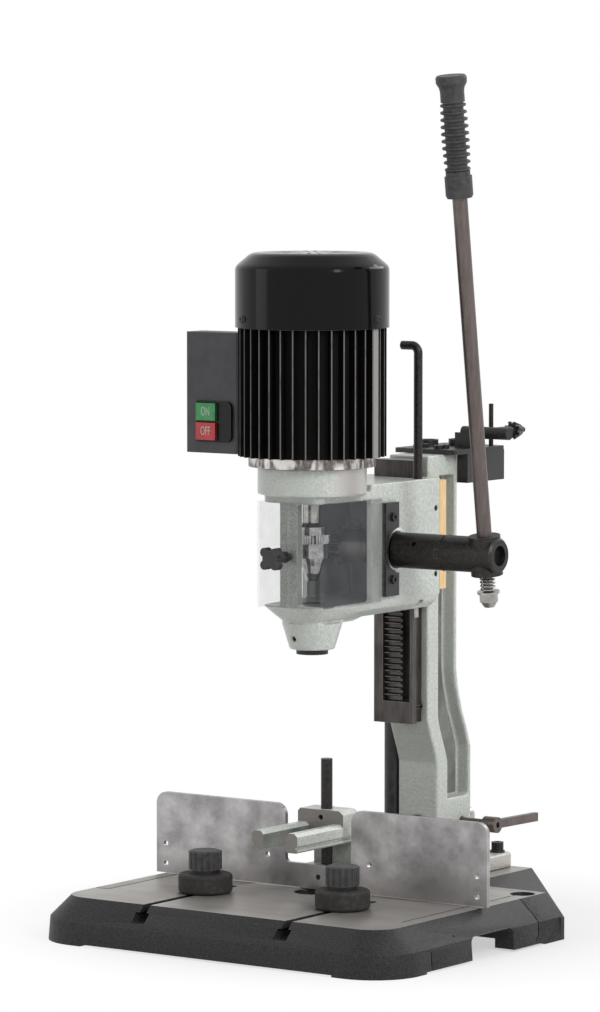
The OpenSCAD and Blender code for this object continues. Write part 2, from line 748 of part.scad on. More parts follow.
module hold_down_fork() color(pale_green) from_spindle() difference() {
    union() {
        translate([0, fork_back, 0]) rotate([90, 0, 0]) linear_extrude(fork_back - fork_front)
            polygon([[-fork_half_w, fork_bottom], [fork_half_w, fork_bottom], [fork_half_w, fork_top - 4],
                [fork_half_w - 5, fork_top], [-fork_half_w + 3, fork_top], [-fork_half_w, fork_top - 3]]);
        for (s = [0, 1]) mirror([s, 0, 0])
            translate([prong_gap / 2, fork_back, prong_z]) rotate([90, 0, 0])
                linear_extrude(fork_back - fork_front + prong_l) polygon(prong_section);
    }
    rod_z(hold_rod_r + run_gap, 0, 200, 0, hold_y);
    block([-1, hold_y, 90], [1, fork_back + 1, 140]);
    rod_y(3, 0, hold_y, 0, fork_top - 8);
    rod_x(2.5 + run_gap, -40, 40, hold_y + 11.2, fork_top - 11);
}

module hold_down_screw() color(black) from_spindle() {
    translate([fork_half_w, hold_y + 11.2, fork_top - 11]) rotate([0, 90, 0]) cap_screw(2.5, 62, 4.5, 5.5);
    translate([-fork_half_w - 4, hold_y + 11.2, fork_top - 11]) rotate([0, 90, 0]) cylinder(r = 4.6, h = 4, $fn = 6);
}

// ---------------------------------------------------------------- work rollers

module roller_stud(x, y) color(dark_steel) from_spindle() {
    block([x - slot_under_w / 2 + 1, -y - 9, table_z - 16.6], [x + slot_under_w / 2 - 1, -y + 9, table_z - 8.6]);
    rod_z(roller_stud_r, table_z - 9, knob_z + 15, x, -y);
    difference() {
        rod_z(15, roller_z + roller_h + 0.3, knob_z - 0.3, x, -y);
        rod_z(roller_stud_r - 1, 0, 200, x, -y);
    }
}

module roller_wheel(x, y) color(black) from_spindle() translate([x, -y, roller_z]) rotate_extrude() {
    translate([roller_stud_r + run_gap, 0]) square([roller_r - 8, roller_h]);
    translate([roller_r - 5, 3.5]) square([5, roller_h - 7]);
    translate([roller_r - 8, 0]) square([4.5, roller_h]);
    for (z = [3.5, roller_h - 3.5]) translate([roller_r - 3.5, z]) circle(r = 3.5);
}

flutes = 16;

module roller_knob(x, y) color(black) from_spindle() translate([x, -y, knob_z]) difference() {
    union() {
        linear_extrude(knob_h - 1) difference() {
            circle(r = roller_knob_r);
            for (i = [0:flutes - 1]) rotate(i * 360 / flutes)
                translate([roller_knob_r + 0.7, 0]) circle(r = 2.1, $fn = 16);
        }
        translate([0, 0, knob_h - 1 - eps]) cylinder(r1 = roller_knob_r - 1.7, r2 = roller_knob_r - 2.6, h = 1);
    }
    translate([0, 0, -1]) cylinder(r = roller_stud_r + run_gap, h = 17);
}

module roller_stud_left() roller_stud(-slot_x, roller_left_y);
module roller_stud_right() roller_stud(slot_x, roller_right_y);
module roller_wheel_left() roller_wheel(-slot_x, roller_left_y);
module roller_wheel_right() roller_wheel(slot_x, roller_right_y);
module roller_knob_left() roller_knob(-slot_x, roller_left_y);
module roller_knob_right() roller_knob(slot_x, roller_right_y);

// ---------------------------------------------------------------- head

// Plan of the head's front part, from half width w at the front to back_w at the back
module head_plan(w, front, back, r, back_w = head_half_w) hull() {
    for (s = [-1, 1]) {
        translate([s * (w - r), r - front]) circle(r = r, $fn = 32);
        translate([s * back_w - (s > 0 ? 2 : 0), 44]) square([2, back - 44]);
    }
}

// Rear block with its lower edges chamfered
module head_block() translate([0, head_back, 0]) rotate([90, 0, 0]) linear_extrude(head_back - 44)
    polygon([[-head_half_w, head_top], [head_half_w, head_top], [head_half_w, head_bottom + 16],
        [head_half_w - 4, head_bottom + 8], [head_half_w - 14, head_bottom], [14 - head_half_w, head_bottom],
        [4 - head_half_w, head_bottom + 8], [-head_half_w, head_bottom + 16]]);

module head_body() {
    head_block();
    hull() {
        translate([0, 0, chamber_bottom - 1]) linear_extrude(1) head_plan(nose_half_w, head_front, 46, 13);
        translate([0, 0, head_bottom - 5]) linear_extrude(1)
            head_plan(nose_half_w - 17, head_front - 19, 46, 13, head_half_w - 24);
        translate([0, 0, head_bottom]) linear_extrude(1)
            head_plan(nose_half_w - 12, head_front - 13, 46, 13, head_half_w - 14);
        translate([0, 0, head_bottom + 8]) linear_extrude(1)
            head_plan(nose_half_w - 5, head_front - 6, 46, 13, head_half_w - 4);
    }
    translate([0, 0, chamber_top]) linear_extrude(ring_bottom - chamber_top + 1)
        head_plan(nose_half_w, head_front - 1, 46, 13);
    rod_z(ring_r, ring_bottom, ring_top);
    block([-pillar_w / 2, -head_front, chamber_bottom - 2], [pillar_w / 2, -head_front + 9, ring_bottom]);
    translate([0, 0, bushing_bottom + 5]) cylinder(r1 = 23, r2 = 31.5, h = head_bottom - bushing_bottom - 8);
    rod_x(boss_r, head_half_w - 1, head_half_w + boss_t, feed_y, feed_z);
}

// The way's channel, wider on the right for the gib
module way_channel() translate([0, 0, head_bottom - 20]) linear_extrude(head_top - head_bottom + 40) union() {
    polygon(way_section(slide_gap));
    translate([gib_t, 0]) polygon(way_section(slide_gap));
    translate([-neck_half_w - slide_gap, column_front - 8]) square([2 * neck_half_w + gib_t + 2 * slide_gap, 12]);
}

module head_casting() color(pale_green) from_spindle() difference() {
    head_body();
    way_channel();
    block([wall_t - head_half_w, 30, chamber_bottom], [head_half_w - wall_t, 46, chamber_top]);
    block([gear_wall, 44, chamber_bottom], [head_half_w - wall_t, chamber_back, chamber_top]);
    translate([0, 0, chamber_bottom]) linear_extrude(chamber_top - chamber_bottom)
        polygon([[-32, -33], [32, -33], [head_half_w - wall_t, 31], [wall_t - head_half_w, 31]]);
    block([-head_half_w - 1, -head_front + 9, chamber_bottom], [head_half_w + 1, 44, chamber_top]);
    rod_x(step_small_r + tooth_room, gear_wall, gear_left + gear_w, step_y, step_z);
    rod_x(step_large_r + tooth_room, -head_half_w - 1, case_depth, step_y, step_z);
    rod_x(pinion_r + tooth_room, -head_half_w - 1, case_depth, pinion_y, feed_z);
    rod_x(pinion_r + tooth_room, groove_left + 0.2, groove_left + rack_w + 1, pinion_y, feed_z);
    rod_x(pinion_neck_r + run_gap, case_depth - 1, 0, pinion_y, feed_z);
    rod_x(pin_r + run_gap, 0, 22, pinion_y, feed_z);
    rod_x(pin_r + run_gap, case_depth - 1, gear_left, step_y, step_z);
    rod_x(journal_r + run_gap, case_depth - 1, 0, feed_y, feed_z);
    rod_x(hub_r + run_gap, 0, head_half_w + boss_t + 1, feed_y, feed_z);
    rod_z(chisel_bore_r + 4, bushing_bottom - 1, chamber_bottom + 1);
    rod_z(bushing_r, bushing_bottom - 1, bushing_bottom + 30);
    rod_z(shaft_r + 6, chamber_top - 1, ring_top + 1);
    rod_z(ring_r - 10, ring_top - 12, ring_top + 1);
    rod_z(stop_r + run_gap, head_bottom - 1, head_top + 1, stop_x, stop_y);
    for (z = gib_screw_heights) rod_x(3, way_w / 2 + gib_t, head_half_w + 1, way_front + 15, z);
    for (z = strip_screw_heights, x = [-head_half_w - 1, head_half_w - 8])
        rod_x(strip_screw_r + run_gap, x, x + 9, strip_screw_y, z);
    rotate([0, 0, -12]) rod_y(3, -60, -bushing_r + 1, 0, bushing_bottom + 17);
    rod_y(4, -head_front - 1, -head_front + 10, 0, feed_z);
}

gib_screw_heights = [365, 400, 434];

module gib() color(bright) from_spindle() translate([0, 0, gib_bottom]) linear_extrude(gib_top - gib_bottom)
    polygon([
        [way_w / 2 + slide_gap / 2, way_front + 1],
        [way_w / 2 + gib_t, way_front + 1],
        [way_w / 2 + gib_t, way_front + lip_t - 0.2],
        [neck_half_w + gib_t + 1.5, way_front + lip_t + undercut_t - 2],
        [neck_half_w + slide_gap / 2 + 1.7, way_front + lip_t + undercut_t - 2],
        [way_w / 2 + slide_gap / 2, way_front + lip_t]
    ]);

keeper_t = 11.5;

module way_keepers() color([0.85, 0.68, 0.45]) from_spindle() for (s = [0, 1]) mirror([s, 0, 0])
    block([column_half_w + seat_gap, head_back, head_bottom + 19.5],
        [head_half_w - 0.5, head_back + keeper_t, head_top - 3]);

module chisel_bushing() color(black) from_spindle() difference() {
    union() {
        rod_z(bushing_r, bushing_bottom, bushing_bottom + 29.9);
        rod_z(chisel_bore_r + 3.5, bushing_bottom + 29, chamber_bottom);
    }
    rod_z(chisel_bore_r, bushing_bottom - 1, chamber_bottom + 1);
    rotate([0, 0, -12]) rod_y(3, -60, -bushing_r + 3, 0, bushing_bottom + 17);
}

// Set screws of the chisel bushing and the gib
module set_screws() {
    rotate([0, 0, -12]) difference() {
        rod_y(2.95, -24, -bushing_r + 2.9, 0, bushing_bottom + 17);
        translate([0, -21, bushing_bottom + 17]) rotate([90, 0, 0]) cylinder(r = 1.6, h = 5, $fn = 6);
    }
    for (z = gib_screw_heights) difference() {
        rod_x(2.95, way_w / 2 + gib_t + 0.1, head_half_w - 1, way_front + 15, z);
        translate([head_half_w - 4, way_front + 15, z]) rotate([0, 90, 0]) cylinder(r = 1.6, h = 5, $fn = 6);
    }
}

module strut_bracket() color(pale_green) from_spindle() difference() {
    block([1 - head_half_w, head_back + keeper_t, strut_lug_z],
        [-column_half_w - 1, strut_y + 10, strut_lug_z + strut_lug_h]);
    rod_z(strut_rod_r, strut_lug_z - 1, strut_lug_z + strut_lug_h + 1, strut_x, strut_y);
}

module strut_rod() color(bright) from_spindle()
    rod_z(strut_rod_r, strut_top - 26, strut_lug_z + strut_lug_h, strut_x, strut_y);

module depth_stop_rod() color(dark_steel) from_spindle() {
    rod_z(stop_r, stop_bottom, stop_top - 8, stop_x, stop_y);
    translate([stop_x - 8, stop_y, stop_top - 8]) rotate([90, 0, 0])
        intersection() {
            rotate_extrude() translate([8, 0]) circle(r = stop_r);
            block([0, 0, -10], [20, 20, 10]);
        }
    rod_x(stop_r, stop_x - 20, stop_x - 8, stop_y, stop_top);
}

// ---------------------------------------------------------------- motor

module motor_end_bell() color(bright) from_spindle() difference() {
    union() {
        rod_z(bell_r, ring_top, bell_top);
        rod_z(ring_r - 10, ring_top - 12, ring_top + 1);
    }
    rod_z(shaft_r + 4, ring_top - 13, bell_top + 1);
    rod_z(16, ring_top + 3, bell_top + 1);
}

// Section of the finned housing
module fin_section() {
    step = 360 / fin_count;
    polygon([for (i = [0:fin_count - 1], p = [[-0.5, fin_root_r], [-0.14, fin_root_r], [-0.05, fin_r],
                                             [0.05, fin_r], [0.14, fin_root_r]])
        let (a = (i + p[0]) * step) [p[1] * cos(a), p[1] * sin(a)]]);
    translate([fin_r - 8, -1.5]) square([7.5, 10.5]);
}

module motor_housing() color(black) from_spindle() difference() {
    union() {
        translate([0, 0, bell_top]) linear_extrude(fins_top - bell_top) fin_section();
        block([-box_right, -6, box_top - box_h + 8], [2 - fin_root_r, 11, fins_top - 1]);
        rod_z(fan_cover_r - cover_t - run_gap, fins_top - eps, fins_top + spigot_h);
    }
    rod_z(stator_r, bell_top - 1, fins_top - 6);
    rod_z(16, fins_top - 8, fins_top + 3);
    rod_z(fan_r + 4.5, fins_top + 2, fins_top + spigot_h + 1);
    for (a = cover_screw_angles) rotate([0, 0, a]) rod_x(2, fan_r, fan_cover_r, 0, fins_top + cover_screw_z);
}

cover_screw_angles = [2, 122, 242];

module stator() color([0.55, 0.35, 0.22]) from_spindle() difference() {
    rod_z(stator_r, bell_top + 22, fins_top - 26);
    rod_z(rotor_r + 0.5, bell_top, fins_top);
}

// Inset and drop of the fan cover's bevelled shoulder, as shares of its size, from the side to the top
shoulder = [[0, 1.06], [0.024, 0.91], [0.1, 0.78], [0.21, 0.67], [0.765, 0.2], [0.91, 0.1], [1.09, 0.03], [1.29, 0]];

module fan_cover() color(black) from_spindle() difference() {
    rotate_extrude($fn = 96) polygon(concat(
        [[fan_cover_r - cover_t, fins_top + seat_gap], [fan_cover_r, fins_top + seat_gap]],
        [for (p = shoulder) [fan_cover_r - p[0] * shoulder_r, fan_cover_top - p[1] * shoulder_r]],
        [[0, fan_cover_top], [0, fan_cover_top - cover_t]],
        [for (i = [len(shoulder) - 1:-1:0]) [fan_cover_r - cover_t - shoulder[i][0] * shoulder_r,
            fan_cover_top - cover_t - shoulder[i][1] * shoulder_r]]
    ));
    for (i = [0:23]) rotate([0, 0, i * 15]) block([22, -1.6, fan_cover_top - 6], [50, 1.6, fan_cover_top + 1]);
    for (a = cover_screw_angles) rotate([0, 0, a]) rod_x(2.05, fin_r - 1, fan_cover_r + 1, 0, fins_top + cover_screw_z);
}

module head_screws() color(black) from_spindle() {
    set_screws();
    for (a = cover_screw_angles) rotate([0, 0, a]) {
        rod_x(1.95, fan_r + 5, fan_cover_r + 1, 0, fins_top + cover_screw_z);
        translate([fan_cover_r, 0, fins_top + cover_screw_z]) rotate([0, 90, 0]) difference() {
            cylinder(r1 = 4.5, r2 = 3.2, h = 2.6);
            for (b = [0, 90]) rotate([0, 0, b]) block([-3, -0.5, 1.4], [3, 0.5, 4]);
        }
    }
    for (s = [-1, 1], z = strip_screw_heights)
        translate([s * (head_half_w + strip_t) - (s < 0 ? gear_cover_t : 0), strip_screw_y, z])
            rotate([0, s * 90, 0]) cap_screw(strip_screw_r, 9 + gear_cover_t, 4.6, 2.6);
}

module motor_bearings() color(bright) from_spindle() for (z = [[ring_top + 3, bell_top], [fins_top - 6, fins_top]])
    difference() {
        rod_z(16, z[0], z[1]);
        rod_z(shaft_r + run_gap, z[0] - 1, z[1] + 1);
    }

module rotor_shaft() color(ground_steel) from_spindle() {
    rod_z(rotor_r, bell_top + 24, fins_top - 28);
    rod_z(shaft_r, chuck_bottom + 52, fins_top + 40);
}

blades = 7;
fan_r = fin_r - 10.3;

module cooling_fan() color(black) from_spindle() difference() {
    union() {
        rod_z(18, fins_top + 8, fins_top + 36);
        rod_z(fan_r, fins_top + 8, fins_top + 11);
        for (i = [0:blades - 1]) rotate([0, 0, i * 360 / blades])
            block([10, -1.2, fins_top + 10], [fan_r, 1.2, fins_top + 34]);
    }
    rod_z(shaft_r + run_gap, fins_top, fins_top + 60);
}

// ---------------------------------------------------------------- switch

module switch_box() color(textured_black) from_spindle() difference() {
    translate([0, 0, box_top - box_h]) linear_extrude(box_h)
        round_rect(-box_left, -box_right, -box_front, box_depth - box_front, 3);
    block([box_wall - box_left, -box_front + box_wall, box_top - box_h + box_wall],
        [-box_right - box_wall, box_depth - box_front - box_wall, box_top - box_wall]);
    for (z = [on_z, off_z]) block([button_x - button_w / 2 - 0.5, -box_front - 1, z - button_h / 2 - 0.5],
        [button_x + button_w / 2 + 0.5, -box_front + 5, z + button_h / 2 + 0.5]);
    rod_y(7, 0, 20, gland_x, gland_z);
}

gland_x = -110;
gland_z = box_top - 109;

plate_left = button_x - button_w / 2 - 2;
plate_right = -box_right - 6.7;
plate_low = off_z - button_h / 2 - 2;
plate_high = on_z + button_h / 2 + 2;

module switch_plate() color(black) from_spindle() difference() {
    translate([0, -box_front, 0]) rotate([90, 0, 0]) linear_extrude(plate_t) {
        round_rect(plate_left, plate_right, plate_low, plate_high, 7);
        translate([plate_left, plate_low]) square([button_w, plate_high - plate_low]);
    }
    for (z = [on_z, off_z]) block([button_x - button_w / 2 - 0.4, -30, z - button_h / 2 - 0.4],
        [button_x + button_w / 2 + 0.4, 0, z + button_h / 2 + 0.4]);
}

module button(z) from_spindle()
    block([button_x - button_w / 2, -box_front - plate_t - button_travel - 0.5, z - button_h / 2],
        [button_x + button_w / 2, -box_front + 3, z + button_h / 2]);

module on_button() color([0.10, 0.62, 0.30]) button(on_z);
module off_button() color([0.80, 0.12, 0.12]) button(off_z);

module cable_gland() color(black) from_spindle() difference() {
    union() {
        rod_y(7, box_depth - box_front - box_wall, box_depth - box_front, gland_x, gland_z);
        translate([gland_x, box_depth - box_front, gland_z]) rotate([-90, 0, 0]) cylinder(r = 11, h = 6, $fn = 6);
        rod_y(8.5, box_depth - box_front + 5, box_depth - box_front + 16, gland_x, gland_z);
    }
    rod_y(3.5, 0, 60, gland_x, gland_z);
}

// ---------------------------------------------------------------- guards

module guard_strips() color(black) from_spindle() for (s = [-1, 1]) translate([s < 0 ? -gear_cover_t : 0, 0, 0])
    mirror([s < 0 ? 1 : 0, 0, 0]) difference() {
        block([head_half_w, strip_front, strip_bottom], [head_half_w + strip_t, strip_back, strip_top]);
        rod_x(boss_r + 2, head_half_w - 1, head_half_w + strip_t + 1, feed_y, feed_z);
        for (z = strip_screw_heights)
            rod_x(strip_screw_r + run_gap, head_half_w - 1, head_half_w + strip_t + 1, strip_screw_y, z);
    }

// Clear guard on the right: side panel and half of the front
module guard_half() {
    out_x = nose_half_w + 2.4;
    difference() {
        union() {
            translate([0, 0, guard_bottom]) linear_extrude(guard_top - guard_bottom)
                polygon([[0.8, -guard_front], [out_x - 3, -guard_front], [out_x, -guard_front + 3],
                    [head_half_w + 0.6 + guard_t, 44], [head_half_w + 0.6 + guard_t, strip_front - 2],
                    [head_half_w + 0.6, strip_front - 2], [head_half_w + 0.6, 44],
                    [out_x - guard_t, -guard_front + guard_t + 2], [out_x - guard_t - 2, -guard_front + guard_t],
                    [0.8, -guard_front + guard_t]]);
            rod_z(guard_bead_r, guard_bottom, guard_top, head_half_w + 0.6 + guard_bead_r, strip_front - 2);
        }
        rod_y(5.2, -guard_front - 1, guard_t + 1 - guard_front, 0, feed_z);
    }
}

module guard_right() color([0.85, 0.88, 0.90, 0.35]) from_spindle() guard_half();
module guard_left() color([0.85, 0.88, 0.90, 0.35]) from_spindle() mirror([1, 0, 0]) guard_half();

lobes = 4;

module guard_knob() color(black) from_spindle() {
    rod_y(3.95, -66, -head_front + 8, 0, feed_z);
    rod_y(6, -49, -47.3, 0, feed_z);
    rod_y(6.5, -68.1, -60, 0, feed_z);
    translate([0, -68, feed_z]) rotate([90, 0, 0]) linear_extrude(8) {
        circle(r = 8.5);
        for (i = [0:lobes - 1]) rotate(45 + i * 360 / lobes) translate([9, 0]) circle(r = 4.9, $fn = 32);
    }
}

// ---------------------------------------------------------------- chuck

module chuck_body() color(bright) from_spindle() difference() {
    translate([0, 0, chuck_bottom]) rotate_extrude()
        polygon([[0, 0], [5, 0], [8.5, 8], [11, 16], [14.5, 24], [14.5, 56], [11, 60], [0, 60]]);
    rod_z(shaft_r + run_gap, chuck_bottom + 52, chuck_bottom + 62);
    rod_z(3, chuck_bottom - 8, chuck_bottom + 32);
}

module chuck_sleeve() color(bright) from_spindle() difference() {
    union() {
        rod_z(17.4, chuck_bottom + 24.3, chuck_bottom + 39);
        translate([0, 0, chuck_bottom + 39]) linear_extrude(9) knurl(17.8, 40);
    }
    rod_z(14.5 + run_gap, chuck_bottom + 12, chuck_bottom + 62);
}

// Disc with a serrated rim
module knurl(r, n) polygon([
    for (i = [0:2 * n - 1]) let (q = r - (i % 2) * 0.9) [q * cos(i * 180 / n), q * sin(i * 180 / n)]
]);

// ---------------------------------------------------------------- feed

module feed_shaft() color(dark_steel) from_spindle() {
    gear(feed_teeth, gear_left, gear_left + gear_w, feed_y, feed_z, 0);
    rod_x(journal_r, case_depth + 0.2, gear_left + 1, feed_y, feed_z);
    rod_x(hub_r, gear_left + gear_w, head_half_w + boss_t, feed_y, feed_z);
    rod_x(spigot_r, head_half_w, 136, feed_y, feed_z);
}

// Small gear driven by the feed shaft, with a large one that drives the rack pinion
module step_gear() color(dark_steel) from_spindle() {
    gear(step_small_teeth, gear_left, gear_left + gear_w - 0.5, step_y, step_z, step_small_phase);
    gear(step_large_teeth, case_gear_left, case_depth - 0.5, step_y, step_z, step_large_phase);
    rod_x(pin_r, case_gear_left, gear_left + gear_w - 1, step_y, step_z);
}

module rack_pinion() color(dark_steel) from_spindle() {
    gear(pinion_teeth, groove_left + 0.5, groove_left + rack_w + 0.5, pinion_y, feed_z, 0);
    gear(pinion_teeth, case_gear_left, case_depth - 0.5, pinion_y, feed_z, 0);
    rod_x(pinion_neck_r, case_gear_left, groove_left + 1, pinion_y, feed_z);
    rod_x(pin_r, groove_left, 21, pinion_y, feed_z);
}

// Plate over the gear case in the head's left side
module gear_cover() color(pale_green) from_spindle() difference() {
    block([-head_half_w - gear_cover_t, strip_front, strip_bottom], [-head_half_w, pinion_y + 20, strip_top]);
    for (z = strip_screw_heights)
        rod_x(strip_screw_r + run_gap, -head_half_w - gear_cover_t - 1, -head_half_w + 1, strip_screw_y, z);
}

dog_h = 4;

// Three blocks across the hub that form the dog teeth
module dog_teeth(x0, x1, shrink) intersection() {
    rod_x(hub_r + 1, x0, x1, feed_y, feed_z);
    translate([x0, feed_y, feed_z]) for (a = [0, 60, 120]) rotate([a, 0, 0])
        translate([0, -30, -5 + shrink]) cube([x1 - x0, 60, 10 - 2 * shrink]);
}

module drive_collar() color(dark_steel) from_spindle() difference() {
    union() {
        rod_x(hub_r, head_half_w + boss_t + seat_gap + 2.5, dog_x, feed_y, feed_z);
        translate([head_half_w + boss_t + seat_gap, feed_y, feed_z]) rotate([0, 90, 0])
            cylinder(r1 = hub_r - 3, r2 = hub_r, h = 2.51);
    }
    dog_teeth(dog_x - dog_h, dog_x + 1, 0);
    rod_x(spigot_r + run_gap, 0, 200, feed_y, feed_z);
    translate([dog_x - 30, feed_y, feed_z]) rotate([90 - 28, 0, 0]) cylinder(r = 3, h = 30);
}

module lever_hub() color(dark_steel) from_spindle() difference() {
    union() {
        rod_x(hub_r, dog_x + hub_gap, hub_end - 2, feed_y, feed_z);
        dog_teeth(dog_x - dog_h + hub_gap, dog_x + hub_gap + 1, 0.3);
        translate([hub_end - 2.01, feed_y, feed_z]) rotate([0, 90, 0])
            cylinder(r1 = hub_r, r2 = hub_r - 2, h = 2.01);
        on_lever() cylinder(r = cross_r, h = 2 * cross_half, center = true);
    }
    rod_x(spigot_r + run_gap, 0, 138, feed_y, feed_z);
    rod_x(10.7, lever_x + lever_r + 2, hub_end + 1, feed_y, feed_z);
    difference() {
        rod_x(hub_r * 3, dog_x - 20, dog_x + hub_gap - eps, feed_y, feed_z);
        rod_x(hub_r, dog_x - 21, dog_x + 2, feed_y, feed_z);
    }
    on_lever() {
        translate([0, 0, 2 - cross_half]) cylinder(r = lever_r + run_gap, h = 80);
        translate([0, 0, -40]) cylinder(r = stud_r + run_gap, h = 30);
    }
}

// Turns what is drawn on the lever's own axis into place
module on_lever() translate([lever_x, feed_y, feed_z]) rotate([lever_lean, 0, 0]) children();

module lever_rod() color([0.36, 0.32, 0.30]) from_spindle() on_lever() {
    translate([0, 0, -cross_half + 2]) cylinder(r = lever_r, h = lever_len + cross_half - 14);
    translate([0, 0, -lever_foot + 3]) cylinder(r = stud_r, h = lever_foot - cross_half);
}

grip_bottom = lever_len - 124;
ribs = 10;
rib_pitch = 7.2;
rib_t = 2.8;

// Outer radius of a rib: the grip swells at its middle
function rib_reach(i) = 13.2 + 1.2 * sin(180 * i / (ribs - 1));

module lever_grip() color(black) from_spindle() on_lever() translate([0, 0, grip_bottom]) rotate_extrude()
    difference() {
        union() {
            square([13, 3]);
            translate([0, 2]) square([14, 20]);
            translate([0, 21]) square([12.5, 6]);
            translate([0, 26]) square([10.4, ribs * rib_pitch]);
            for (i = [0:ribs - 1]) translate([0, 29 + i * rib_pitch]) {
                translate([rib_reach(i) - rib_t / 2, 0]) circle(r = rib_t / 2, $fn = 24);
                translate([0, -rib_t / 2]) square([rib_reach(i) - rib_t / 2, rib_t]);
            }
            polygon([[0, 97], [12.3, 97], [12.3, 108], [13.2, 112], [15.8, 116.5], [15.8, 122],
                [14.4, 124], [0, 124]]);
        }
        translate([-5, -1]) square([5 + lever_r, 114]);
    }

spring_rings = 8;        // rings a curl
spring_sides = 6;

// Points of the spring's centre line, t from 0 to 1
function spring_point(t) = [spring_r * cos(t * spring_turns * 360), spring_r * sin(t * spring_turns * 360),
    -cross_half - spring_wire * 0.62 - t * (spring_len - spring_wire * 1.24)];

// Ring of points round the centre line at t
function spring_ring(t) = let (c = spring_point(t), a = t * spring_turns * 360) [
    for (k = [0:spring_sides - 1]) let (b = k * 360 / spring_sides)
        c + spring_wire / 2 * [cos(b) * cos(a), cos(b) * sin(a), sin(b)]
];

spring_steps = spring_rings * spring_turns;
spring_points = [for (i = [0:spring_steps]) spring_ring(i / spring_steps)];
echo(least_gap_of_lever_spring = min([for (i = [0:spring_steps - spring_rings])
    norm(spring_point(i / spring_steps) - spring_point((i + spring_rings) / spring_steps)) - spring_wire]));

module lever_spring() color(bright) from_spindle() on_lever() polyhedron(
    points = [for (r = spring_points) each r],
    faces = concat(
        [[for (k = [spring_sides - 1:-1:0]) k]],
        [for (i = [0:spring_steps - 1], k = [0:spring_sides - 1], f = [0, 1])
            let (k2 = (k + 1) % spring_sides, a = i * spring_sides, b = (i + 1) * spring_sides)
            f == 0 ? [a + k, a + k2, b + k2] : [a + k, b + k2, b + k]],
        [[for (k = [0:spring_sides - 1]) spring_steps * spring_sides + k]]
    ));

module lever_nut() color(ground_steel) from_spindle() on_lever() {
    difference() {
        translate([0, 0, -cross_half - spring_len - 2.5]) cylinder(r = 11.5, h = 2.5);
        translate([0, 0, -80]) cylinder(r = stud_r, h = 80);
    }
    difference() {
        union() {
            translate([0, 0, -lever_foot + 7])
                cylinder(r = 10.6, h = lever_foot - 7 - cross_half - spring_len - 2.5, $fn = 6);
            translate([0, 0, -lever_foot + 1]) cylinder(r1 = 5.5, r2 = 9, h = 6.01);
        }
        translate([0, 0, -lever_foot + 3]) cylinder(r = stud_r, h = 80);
    }
}

// ---------------------------------------------------------------- stored tools

module chuck_key() color(dark_steel) from_spindle() {
    rod_x(key_r, key_x - key_half_l, key_x + key_half_l, key_y, key_z);
    rod_y(5, key_y, key_y + 56, key_x, key_z);
    translate([key_x, key_y + 50, key_z]) rotate([-90, 0, 0]) difference() {
        cylinder(r1 = 10, r2 = 6.5, h = 13);
        for (i = [0:7]) rotate([0, 0, i * 45]) translate([9.5, 0, -1]) cylinder(r = 2.2, h = 16, $fn = 16);
    }
    rod_y(3, key_y + 56, key_y + 72, key_x, key_z);
}

module small_hex_key() color(black) from_spindle()
    rod_z(small_key_r, plate_z - holder_drop + 4, plate_z + 50, small_key_x, small_key_y);

base_casting();
column_casting();
column_bolts();
slide_way();
frame_screws();
rack();
strut_cylinder();
tool_holder();
fence_plate();
fence_bracket();
fence_screws();
fence_bar();
hold_down_rod();
lock_lever();
hold_down_fork();
hold_down_screw();
roller_stud_left();
roller_stud_right();
roller_wheel_left();
roller_wheel_right();
roller_knob_left();
roller_knob_right();
head_casting();
gib();
way_keepers();
chisel_bushing();
motor_end_bell();
motor_housing();
stator();
fan_cover();
head_screws();
motor_bearings();
switch_box();
switch_plate();
cable_gland();
guard_strips();
strut_rod();
strut_bracket();
rotor_shaft();
cooling_fan();
chuck_body();
chuck_sleeve();
feed_shaft();
step_gear();
rack_pinion();
gear_cover();
drive_collar();
lever_hub();
lever_rod();
lever_grip();
lever_spring();
lever_nut();
guard_left();
guard_right();
guard_knob();
on_button();
off_button();
depth_stop_rod();
chuck_key();
small_hex_key();
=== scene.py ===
import json
import math

import bmesh
import bpy
from mathutils import Matrix, Vector


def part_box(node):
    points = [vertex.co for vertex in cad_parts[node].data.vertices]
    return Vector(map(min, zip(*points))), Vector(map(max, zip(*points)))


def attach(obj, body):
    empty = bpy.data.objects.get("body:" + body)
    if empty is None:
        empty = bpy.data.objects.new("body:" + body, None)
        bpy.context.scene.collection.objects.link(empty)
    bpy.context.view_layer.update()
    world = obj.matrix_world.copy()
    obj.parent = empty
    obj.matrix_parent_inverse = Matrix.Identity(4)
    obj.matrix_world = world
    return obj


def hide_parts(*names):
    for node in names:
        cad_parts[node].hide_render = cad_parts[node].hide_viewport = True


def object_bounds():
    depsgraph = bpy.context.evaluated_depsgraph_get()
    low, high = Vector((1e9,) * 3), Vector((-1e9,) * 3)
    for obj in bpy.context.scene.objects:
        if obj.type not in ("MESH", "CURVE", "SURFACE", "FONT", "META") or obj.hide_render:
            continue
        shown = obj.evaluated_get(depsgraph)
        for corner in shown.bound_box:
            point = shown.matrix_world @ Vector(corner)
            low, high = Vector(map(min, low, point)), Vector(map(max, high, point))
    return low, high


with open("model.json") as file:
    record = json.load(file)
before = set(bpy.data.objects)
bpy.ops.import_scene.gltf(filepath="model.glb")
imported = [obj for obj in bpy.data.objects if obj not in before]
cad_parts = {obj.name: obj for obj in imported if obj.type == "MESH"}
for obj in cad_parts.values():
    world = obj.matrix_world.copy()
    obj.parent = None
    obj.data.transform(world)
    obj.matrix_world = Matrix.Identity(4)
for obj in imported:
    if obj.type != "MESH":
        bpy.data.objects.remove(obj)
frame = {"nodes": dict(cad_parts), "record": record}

CAD_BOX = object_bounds()
MM = 0.001

